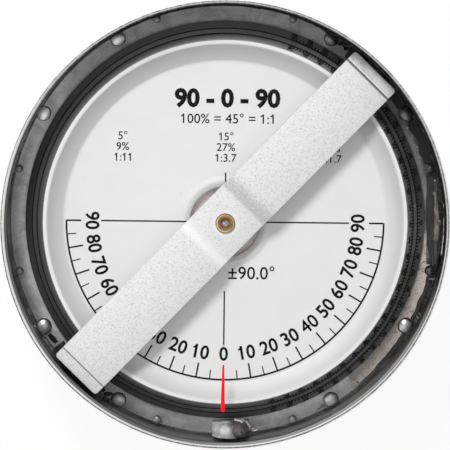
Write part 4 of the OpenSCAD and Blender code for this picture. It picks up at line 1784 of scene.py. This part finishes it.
@dataclass
class Bridge:
    """The aluminium strap over the dial, its black posts, and the brass front bearing."""

    width: float = 5.72
    half: float = 21.52
    top_z: float = 9.0
    thickness: float = 0.8
    angle: float = 45.4
    drop: float = 0.5
    flat: float = 2.5
    slope: float = 1.1
    foot: float = 1.24
    groove_w: float = 0.12
    groove_depth: float = 0.10
    corner: float = 0.35
    bend: float = 0.35
    foot_edge: float = 0.12
    long_edge: float = 0.07
    hole_r: float = 0.98
    hole_depth: float = 4.0
    hole_steps: int = 64
    near: float = 0.01

    def build(self) -> None:
        """Makes the strap and dresses the rest."""
        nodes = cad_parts
        self.strap()
        Moulded("finish_post_black", grey(0.012), grey(0.10), 0.2, 0.4).put_on(
            nodes["bridge_post_ne"], nodes["bridge_post_sw"])
        ScrewBrass("finish_screw").put_on(nodes["front_bearing_screw"])
        Brass("finish_brass").put_on(nodes["rear_bearing_cup"])
        Jewel("finish_jewel").put_on(nodes["front_jewel"], nodes["rear_jewel"])

    def side(self) -> list[Vector]:
        """Draws the strap's side view.

        Returns:
            Its corners, with their X along the strap and their Z up.
        """
        top, low = self.top_z, self.top_z - self.thickness
        inner, outer = self.flat, self.flat + self.slope
        foot = self.half - self.foot
        notch = foot + self.groove_w
        right = [
            (inner, top - self.drop), (outer, top), (foot, top), (foot, top - self.groove_depth),
            (notch, top - self.groove_depth), (notch, top), (self.half, top),
            (self.half, low), (outer, low), (inner, low - self.drop),
        ]
        left = [(-along, height) for along, height in reversed(right)]
        return [Vector((along, -self.width / 2, height)) for along, height in right + left]

    def foot_from(self) -> float:
        """How far from the axle's line the feet begin, past their grooves."""
        return self.half - self.foot + self.groove_w

    def at_corner(self, edge: bmesh.types.BMEdge) -> bool:
        """Tells whether an edge is one of the strap's four corners, seen from above.

        Args:
            edge: the edge.

        Returns:
            Whether it is.
        """
        first, second = (vert.co for vert in edge.verts)
        upright = abs(first.z - second.z) > self.thickness / 2 and abs(first.x - second.x) < self.near
        return upright and abs(first.x) > self.half - self.near

    def at_bend(self, edge: bmesh.types.BMEdge) -> bool:
        """Tells whether an edge is one of the bends across the strap."""
        first, second = (vert.co for vert in edge.verts)
        return abs(first.y - second.y) > self.width / 2 and abs(first.x) < self.flat + self.slope + self.near

    def at_foot_rim(self, edge: bmesh.types.BMEdge) -> bool:
        """Tells whether an edge is on the upper rim of a foot.

        Args:
            edge: the edge.

        Returns:
            Whether it is.
        """
        foot = self.foot_from()
        ends = [vert.co for vert in edge.verts]
        on_top = all(abs(end.x) > foot - self.near and end.z > self.top_z - self.near for end in ends)
        past_groove = any(abs(end.x) > foot + self.near for end in ends)
        return on_top and past_groove and any(abs(face.normal.z) < 0.3 for face in edge.link_faces)

    def at_long_rim(self, edge: bmesh.types.BMEdge) -> bool:
        """Tells whether an edge is a long one between the feet.

        Args:
            edge: the edge.

        Returns:
            Whether it is.
        """
        foot = self.foot_from()
        first, second = (vert.co for vert in edge.verts)
        flanks = [face for face in edge.link_faces if abs(face.normal.y) > 0.9]
        between = abs(first.x) < foot - 0.1 and abs(second.x) < foot - 0.1
        return len(flanks) == 1 and between and abs(first.x - second.x) > 0.001

    def strap(self) -> bpy.types.Object:
        """Makes the strap, rounded at its ends, bends and edges, with a hole for the bearing screw.

        Returns:
            The strap.
        """
        form = Form().prism(self.side(), Vector((0.0, self.width, 0.0)))
        form.bevelled(self.at_corner, self.corner, 6)
        form.bevelled(self.at_bend, self.bend, 5)
        form.bevelled(self.at_foot_rim, self.foot_edge, 4)
        form.bevelled(self.at_long_rim, self.long_edge, 2)
        bmesh.ops.rotate(form.mesh, cent=(0, 0, 0), matrix=about_z(self.angle).to_3x3(),
                         verts=form.mesh.verts[:])
        strap = form.piece("bridge_strap", Body.CASE, Slot.BRIDGE_ALUMINIUM,
                           BlastedAluminium("finish_blasted_aluminium"), 40.0, ("bridge",))
        self.drill(strap)
        return strap

    def drill(self, strap: bpy.types.Object) -> None:
        """Cuts the hole for the bearing screw.

        Args:
            strap: the strap.
        """
        drill = Form()
        bmesh.ops.create_cone(drill.mesh, cap_ends=True, segments=self.hole_steps, radius1=self.hole_r * MM,
                              radius2=self.hole_r * MM, depth=self.hole_depth * MM,
                              matrix=Matrix.Translation((0, 0, self.top_z * MM)))
        mesh = bpy.data.meshes.new("drill")
        drill.mesh.to_mesh(mesh)
        drill.mesh.free()
        tool = added("drill", mesh)
        cut = strap.modifiers.new("bearing_hole", "BOOLEAN")
        cut.object, cut.operation, cut.solver = tool, "DIFFERENCE", "EXACT"
        bored = bpy.data.meshes.new_from_object(strap.evaluated_get(bpy.context.evaluated_depsgraph_get()))
        strap.modifiers.clear()
        strap.data = bored
        bored.name = "bridge_strap"
        bpy.data.objects.remove(tool)


@dataclass(frozen=True)
class Figures:
    """A line of figures on the card: its text, where its middle is, its height and its weight."""

    text: str
    across: float
    up: float
    height: float = 0.78
    weight: float = 0.004


@dataclass
class DialCard:
    """The white card with its print, and the dark scale ring on its edge."""

    rest_angle: float = -0.65
    face_z: float = 6.6
    print_t: float = 0.02
    number_r: float = 13.35
    number_h: float = 1.36
    number_weight: float = 0.021
    number_squeeze: float = 0.95
    range_line: Figures = Figures("90 - 0 - 90", 0.1, 12.55, 1.80, 0.040)
    slope_line: Figures = Figures("100% = 45° = 1:1", 0.1, 10.42, 0.94)
    turn_line: Figures = Figures("±90.0°", 2.7, -5.15, 1.24, 0.006)
    columns: tuple[tuple[float, tuple[str, ...]], ...] = (
        (-10.4, ("5°", "9%", "1:11")), (0.0, ("15°", "27%", "1:3.7")), (10.6, ("30°", "58%", "1:1.7")),
    )
    column_up: tuple[float, ...] = (8.63, 7.55, 6.47)
    ring_z: float = 4.0
    ring_top_z: float = 7.1
    ring_r_low: float = 20.19
    ring_r_top: float = 18.47
    line_radii: Pair = (18.99, 19.49)
    line_w: float = 0.11
    line_t: float = 0.012
    line_steps: int = 160
    tick_long: float = 1.00
    tick_short: float = 0.66
    tick_shift: float = 0.11
    tick_w: float = 0.13
    mark_t: float = 0.03
    mark_lift: float = 0.008
    degree_r: float = 18.68
    slope_r: float = 19.86
    slope_most: int = 150
    ring_figure_h: float = 0.58
    ring_weight: float = 0.03
    ring_copies: float = 0.9
    bead_r_in: float = 3.575
    bead_w: float = 1.2
    bead_h: float = 0.15
    bead_cuts: int = 16
    cross_w: float = 0.14
    marks_from: int = -75
    marks_to: int = 70
    long_every: int = 5
    ink: Ink = Ink("finish_ink")
    ring_ink: Ink = Ink("finish_ring_ink", grey(0.003), grey(0.02))
    line_ink: Ink = Ink("finish_line_ink", grey(0.004), grey(0.02))

    def build(self) -> None:
        """Dresses the card's solids and adds its print."""
        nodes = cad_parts
        CardPaint("finish_card_paint").put_on(nodes["dial_card"])
        RingPaint("finish_ring_paint").put_on(nodes["scale_ring"])
        self.ink.put_on(nodes["dial_marks"])
        Brass("finish_weight", tint(0.45, 0.33, 0.16)).put_on(nodes["counterweight"])
        Brass("finish_hub", tint(0.76, 0.71, 0.70), tint(0.58, 0.52, 0.51), 0.5).put_on(nodes["hub"])
        Steel("finish_steel").put_on(nodes["axle"])
        self.numbers()
        self.face_figures()
        self.bead_lines()
        self.ring_lines()
        self.ring_ticks()
        self.ring_figures()

    def numbers(self) -> bpy.types.Object:
        """Prints the degrees of the main scale, their tops towards the axle.

        Returns:
            The numbers.
        """
        form = Form()
        lettering = Lettering(self.print_t, self.number_weight, squeeze=self.number_squeeze)
        spot = Matrix.Translation((0.0, -self.number_r, self.face_z + self.print_t / 2))
        for step in range(-9, 10):
            place = about_z(10 * step + self.rest_angle + 360) @ spot
            lettering.printed(form, str(abs(10 * step)), self.number_h, place)
        return form.piece("scale_numbers", Body.CARD, Slot.PRINT_BLACK, self.ink)

    def face_figures(self) -> bpy.types.Object:
        """Prints plain figures on the face: the range, some slopes in degrees, percent and ratio, the turn.

        Returns:
            The figures.
        """
        form = Form()
        small = [Figures(text, across, up) for across, column in self.columns
                 for text, up in zip(column, self.column_up)]
        for line in (self.range_line, self.slope_line, *small, self.turn_line):
            spot = Matrix.Translation((line.across, line.up, self.face_z + self.print_t / 2))
            lettering = Lettering(self.print_t, line.weight)
            lettering.printed(form, line.text, line.height, about_z(self.rest_angle) @ spot)
        return form.piece("face_figures", Body.CARD, Slot.PRINT_BLACK, self.ink)

    def bead_lines(self) -> bpy.types.Object:
        """Carries the level line and the middle line over the raised ring round the hub hole.

        Returns:
            The lines.
        """
        form = Form()
        for way in (0.0, 90.0, 180.0):
            made = bmesh.ops.create_grid(form.mesh, x_segments=self.bead_cuts, y_segments=1, size=0.5)
            turn = about_z(way + self.rest_angle)
            middle = Matrix.Translation((self.bead_r_in + self.bead_w / 2, 0.0, 0.0))
            size = Matrix.Diagonal((self.bead_w, self.cross_w, 1.0, 1.0))
            bmesh.ops.transform(form.mesh, matrix=turn @ middle @ size, verts=made["verts"])

        def laid(corner: Vector) -> Vector:
            """Lays a corner on the raised ring.

            Args:
                corner: the corner.

            Returns:
                Its new place.
            """
            share = (math.hypot(corner.x, corner.y) - self.bead_r_in) / self.bead_w
            rise = self.bead_h * (1 - math.cos(FULL_TURN * share)) / 2
            return Vector((corner.x, corner.y, self.face_z + self.print_t + rise))

        form.moved(laid)
        bmesh.ops.solidify(form.mesh, geom=form.mesh.faces[:], thickness=self.print_t * 1.4)
        return form.outward().piece("bead_lines", Body.CARD, Slot.PRINT_BLACK, self.ink)

    def cone_height(self, radius: float) -> float:
        """The height of the scale ring's surface at a radius."""
        step, tall = self.ring_r_low - self.ring_r_top, self.ring_top_z - self.ring_z
        return self.ring_top_z - tall * (radius - self.ring_r_top) / step

    def cone_place(self, way: float, radius: float, lift: float) -> Matrix:
        """Gives a place on the scale ring, its X axis down the slope and its Y axis round the card.

        Args:
            way: the angle round the axle, in degrees.
            radius: the radius at which the place is.
            lift: its height over the surface.

        Returns:
            The place.
        """
        step, tall = self.ring_r_low - self.ring_r_top, self.ring_top_z - self.ring_z
        slant = math.hypot(step, tall)
        down = Vector((step / slant, 0.0, -tall / slant))
        round_card = Vector((0.0, 1.0, 0.0))
        out = down.cross(round_card)
        spot = Vector((radius, 0.0, self.cone_height(radius))) + out * lift
        basis = Matrix((down, round_card, out)).transposed().to_4x4()
        return about_z(way) @ Matrix.Translation(spot) @ basis

    def ring_lines(self) -> bpy.types.Object:
        """Draws two dark lines round the scale ring.

        Returns:
            The lines.
        """
        form = Form()
        thick = self.line_t
        for radius in self.line_radii:
            inner, outer = radius - self.line_w / 2, radius + self.line_w / 2
            upper, lower = self.cone_height(inner), self.cone_height(outer)
            section = (
                (inner - thick, upper), (outer - thick, lower), (outer + thick, lower + thick),
                (inner + thick, upper + thick),
            )
            form.turned(section, self.line_steps)
        return form.piece("ring_lines", Body.CARD, Slot.PRINT_BLACK, self.line_ink)

    def ring_ticks(self) -> bpy.types.Object:
        """Draws fine ticks on both lines of the scale ring, one for each degree.

        Returns:
            The ticks.
        """
        form = Form()
        for degree in range(self.marks_from, self.marks_to + 1):
            length = self.tick_short if degree % self.long_every else self.tick_long
            for line, side in zip(self.line_radii, (-1, 1)):
                radius = line + side * length * self.tick_shift
                place = self.cone_place(degree + self.rest_angle, radius, self.mark_lift)
                form.block(place, (length, self.tick_w, self.mark_t))
        return form.piece("ring_ticks", Body.CARD, Slot.PRINT_BLACK, self.ring_ink)

    def ring_figures(self) -> bpy.types.Object:
        """Prints small numbers beside the ticks: degrees on one side, percent of slope on the other.

        Returns:
            The numbers.
        """
        form = Form()
        lettering = Lettering(self.mark_t, self.ring_weight, self.ring_copies)
        for degree in range(self.marks_from, self.marks_to + 1, self.long_every):
            slope = min(round(100 * math.tan(math.radians(abs(degree)))), self.slope_most)
            for number, radius in ((abs(degree), self.degree_r), (slope, self.slope_r)):
                place = self.cone_place(degree + self.rest_angle, radius, self.mark_lift)
                lettering.printed(form, str(number), self.ring_figure_h, place)
        return form.piece("ring_figures", Body.CARD, Slot.PRINT_BLACK, self.ring_ink)


@dataclass
class SideSight:
    """The sight frame with its clear plate and hair, and the tan pad that lights the scale."""

    film_r_in: float = 21.05
    film_r_out: float = 21.48
    film_z: float = 8.0
    film_t: float = 0.10
    film_from: float = -4.7
    film_to: float = 8.4
    film_steps: int = 90
    film_waves: float = 1.9
    film_swing: float = 0.014
    film_rise: float = 0.05
    bow_x: float = 20.14
    bow_y: float = 0.9
    bow: float = 0.0295
    bow_max_x: float = 20.9
    bow_cuts: int = 28
    front_x: float = 20.5
    front_reach: float = 0.12
    frame_z: Pair = (3.5, 8.1)

    def build(self) -> None:
        """Dresses the sight's solids."""
        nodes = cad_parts
        self.bowed_frame(nodes["sight_frame"])
        ClearPlastic("finish_sight_plate", 0.06, 0.6, 0.2).put_on(nodes["sight_window"])
        Ink("finish_hair", grey(0.006), grey(0.03)).put_on(nodes["hairline"])
        SpottedPad("finish_pad").put_on(nodes["reflector_pad"])
        self.glue_film()

    def bowed_frame(self, plain: bpy.types.Object) -> bpy.types.Object:
        """The frame with its upper edge bowed towards the card, in place of the plain one.

        Args:
            plain: the plain frame.

        Returns:
            The bowed frame.
        """
        form = Form().copied(plain.data, Matrix.Scale(1 / MM, 4))
        ends = [vert.co.y for vert in form.mesh.verts]
        length = max(ends) - min(ends)
        for cut in range(1, self.bow_cuts):
            at = min(ends) + length * cut / self.bow_cuts
            whole = form.mesh.verts[:] + form.mesh.edges[:] + form.mesh.faces[:]
            bmesh.ops.bisect_plane(form.mesh, geom=whole, dist=MERGE, plane_co=(0.0, at, 0.0),
                                   plane_no=(0.0, 1.0, 0.0))
        low, high = self.frame_z

        def bowed(corner: Vector) -> Vector:
            """Brings a corner of the front forward, most at its top and middle.

            Args:
                corner: the corner.

            Returns:
                Its new place.
            """
            if corner.x > self.front_x + self.front_reach:
                return corner
            drawn = min(self.bow_x + self.bow * (corner.y - self.bow_y) ** 2, self.bow_max_x)
            share = 1.0 if drawn > self.front_x else held((corner.z - low) / (high - low))
            return Vector((corner.x + share * (drawn - self.front_x), corner.y, corner.z))

        form.moved(bowed)
        return form.piece("sight_frame_bowed", Body.CASE, Slot.BLACK_PLASTIC,
                          Moulded("finish_frame_black", grey(0.035), grey(0.15), 0.25, 0.45),
                          replaces=("sight_frame",))

    def glue_film(self) -> bpy.types.Object:
        """Lays uneven glue along the top of the clear plate, against the skirt.

        Returns:
            The glue.
        """
        inner, outer, low = self.film_r_in, self.film_r_out, self.film_z
        section = ((inner, low), (outer, low), (outer, low + self.film_t), (inner, low + self.film_t))

        def uneven(corner: Vector) -> Vector:
            """Makes the film's inner edge and top ragged.

            Args:
                corner: a corner of the film.

            Returns:
                Its new place.
            """
            swell = noise.noise(corner * self.film_waves)
            share = (outer - math.hypot(corner.x, corner.y)) / (outer - inner)
            return drawn_to(corner, 1 + self.film_swing * swell * share, self.film_rise * (swell + 1))

        form = Form().swept(section, self.film_from, self.film_to, self.film_steps).moved(uneven)
        return form.piece("sight_glue", Body.CASE, Slot.SEALANT,
                          SpottedPad("finish_sight_glue", tint(0.24, 0.22, 0.20), tint(0.008, 0.008, 0.008),
                                     tint(0.02, 0.018, 0.017), (4.6, 1.4, 1.0)))


@dataclass
class FillPort:
    """The block with the fill hole, its sealing ball and its plug, under lumps of compound."""

    wall_r: float = 21.72
    deck_z: float = 3.52
    pale_middle: Triple = (0.45, -21.60, 4.75)
    pale_half: Triple = (2.05, 1.32, 4.4)
    pale_sides: Pair = (-1.30, 1.9)
    dark_middle: Triple = (1.22, -21.34, 4.74)
    dark_half: Triple = (1.20, 1.07, 4.42)
    dark_sides: Pair = (-2.0, 4.0)
    rough: float = 0.10
    detail: int = 5
    # Lumps of compound whose near-white colour is a painted highlight
    ridges: tuple[Drop, ...] = (
        Drop(20.36, -86.3, 0.80, 0.30, 0.9, -28.0, 5.3), Drop(20.62, -85.2, 0.75, 0.32, 1.0, -58.0, 5.6),
        Drop(20.42, -84.6, 0.70, 0.13, 0.4, -45.0, 5.0), Drop(20.78, -83.6, 0.80, 0.14, 0.5, -72.0, 5.0),
        Drop(21.22, -83.2, 0.60, 0.13, 0.4, -100.0, 5.0), Drop(21.50, -82.6, 0.45, 0.14, 0.3, 50.0, 4.3),
        Drop(21.60, -81.9, 0.55, 0.12, 0.3, 10.0, 4.6), Drop(21.30, -83.9, 0.40, 0.10, 0.3, -110.0, 6.6),
    )
    # A flat black lump high on the skirt above the port
    gap: Drop = Drop(21.86, -87.5, 2.5, 0.10, 0.10, 0.0, 10.0)

    def build(self) -> None:
        """Dresses the port's solids and lays the compound."""
        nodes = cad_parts
        PortCompound("finish_block").put_on(nodes["fill_block"])
        Moulded("finish_plug", grey(0.015), grey(0.1), 0.2, 0.5).put_on(nodes["fill_plug"])
        self.lump("fill_ball_sealed", self.dark_middle, self.dark_half, self.dark_sides, Slot.BRASS_SHADOW,
                  SpottedPad("finish_compound", tint(0.090, 0.078, 0.076), tint(0.02, 0.018, 0.018),
                             tint(0.20, 0.185, 0.18)), ("fill_ball",))
        self.lump("fill_port_compound", self.pale_middle, self.pale_half, self.pale_sides, Slot.BLOCK_GREY,
                  PortCompound("finish_block"))
        # Real bumps, their near-white colour a painted highlight
        Sealing.laid("fill_port_ridges", self.ridges, Slot.BLOCK_GREY,
                     Moulded("finish_ridge_highlight", grey(0.85), grey(0.4), 0.4, 0.25), 0.5)
        Sealing.laid("fill_port_dark_lump", (self.gap,), Slot.SEALANT,
                     Moulded("finish_dark_lump", grey(0.006), grey(0.05), 0.2, 0.3), 0.2)

    def lump(self, name: str, middle: Triple, half: Triple, sides: Pair, slot: Slot, finish: Finish,
             replaces: Sequence[str] = ()) -> bpy.types.Object:
        """Makes a lump of compound that lies on the block and climbs the skirt.

        Args:
            name: the piece's name.
            middle: the middle of the lump's ellipsoid.
            half: its half length, width and height.
            sides: how far it reaches to the left and right.
            slot: the record's slot of its finish.
            finish: its finish.
            replaces: the CAD nodes that it stands for.

        Returns:
            The lump.
        """
        def pressed(corner: Vector) -> Vector:
            """Presses a corner flat on the deck, the skirt and the lump's straight sides.

            Args:
                corner: the corner.

            Returns:
                Its new place.
            """
            across = min(max(corner.x, sides[0]), sides[1])
            radius = math.hypot(across, corner.y)
            scale = min(self.wall_r / radius, 1.0)
            return Vector((across * scale, corner.y * scale, max(corner.z, self.deck_z)))

        size = tuple(2 * reach for reach in half)
        form = Form().blob(Vector(middle), size, self.rough, detail=self.detail).moved(pressed)
        return form.piece(name, Body.CASE, slot, finish, replaces=replaces)


@dataclass
class IndexLine:
    """The red line under the window."""

    red: Colour = tint(1.0, 0.008, 0.016)
    worn: Colour = tint(1.0, 0.09, 0.09)

    def build(self) -> None:
        """Dresses the line."""
        Ink("finish_red", self.red, self.worn).put_on(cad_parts["index_line"])


# Studio


@dataclass
class Studio:
    """A pale floor, plain soft light, and the camera at the photograph's angle."""

    floor_r: float = 1500.0
    floor_drop: float = 0.02
    rim_z: float = 11.5
    distance: float = 540.0
    tilt: float = 4.2
    lean: float = 0.45
    picture_px: int = 450
    px_per_mm: float = 10.004
    right_px: float = 0.5
    down_px: float = 0.4
    sensor: float = 36.0
    ambient: float = 0.58
    key_power: float = 0.50
    key_way: float = 112.0
    key_height: float = 49.0
    key_distance: float = 600.0
    key_size: float = 160.0

    def build(self) -> None:
        """Lays the floor, lights it and sets the camera."""
        scene = bpy.context.scene
        scene.view_settings.view_transform = "Standard"
        self.floor()
        self.sky(scene)
        self.key()
        self.camera(scene)

    def floor(self) -> None:
        """Lays a large round floor just under the case."""
        form = bmesh.new()
        bmesh.ops.create_circle(form, cap_ends=True, segments=96, radius=self.floor_r * MM,
                                matrix=Matrix.Translation((0, 0, -self.floor_drop * MM)))
        mesh = bpy.data.meshes.new("floor")
        form.to_mesh(mesh)
        form.free()
        floor = added("floor", mesh)
        StudioFloor("finish_floor").put_on(floor)

    def sky(self, scene: bpy.types.Scene) -> None:
        """Sets even light from all round, white where it is seen or mirrored.

        Args:
            scene: the scene that it lights.
        """
        scene.world = bpy.data.worlds.new("studio")
        scene.world.use_nodes = True
        web = Web(scene.world.node_tree)
        strength = self.ambient + (1 - self.ambient) * web.seen()
        light = web.node("ShaderNodeBackground", None, {"Color": grey(1.0), "Strength": strength})
        web.node("ShaderNodeOutputWorld", None, {"Surface": light})

    def key(self) -> None:
        """Hangs one soft lamp at the upper left of the picture."""
        away, up = math.radians(self.key_way), math.radians(self.key_height)
        way = Vector((math.cos(away) * math.cos(up), math.sin(away) * math.cos(up), math.sin(up)))
        lamp = bpy.data.lights.new("key", "AREA")
        lamp.shape = "DISK"
        lamp.size = self.key_size * MM
        spread = self.key_distance * MM
        lamp.energy = self.key_power * (math.pi * spread) ** 2 / math.sin(up)
        holder = added("key", lamp)
        holder.location = way * spread
        holder.rotation_euler = way.to_track_quat("Z", "Y").to_euler()

    def camera(self, scene: bpy.types.Scene) -> None:
        """Sets the camera over the dial, a little above its middle.

        Args:
            scene: the scene that it is the camera of.
        """
        tilt, lean = math.radians(self.tilt), math.radians(self.lean)
        back = Vector((-math.sin(lean), math.sin(tilt), math.cos(tilt))).normalized()
        right = Vector((0, 1, 0)).cross(back).normalized()
        up = back.cross(right)
        shift = up * (self.down_px / self.px_per_mm) - right * (self.right_px / self.px_per_mm)
        aim = Vector((0, 0, self.rim_z)) + shift
        made = bpy.data.cameras.new("camera")
        made.sensor_width = self.sensor
        made.lens = self.sensor * self.distance * self.px_per_mm / self.picture_px
        made.clip_start, made.clip_end = 0.01, 20.0
        holder = added("camera", made)
        holder.rotation_euler = Matrix((right, up, back)).transposed().to_euler()
        holder.location = (aim + back * self.distance) * MM
        scene.camera = holder


def main() -> None:
    """Builds the sub-assemblies in order, then the studio."""
    logging.basicConfig(level=logging.INFO, format="%(message)s")
    parts = (
        CaseShell(), Capsule(), Sealing(), Bridge(), DialCard(), SideSight(), FillPort(), IndexLine(),
        Studio(),
    )
    for part in parts:
        part.build()
        log.info("built %s", type(part).__name__)


if __name__ == "__main__":
    main()
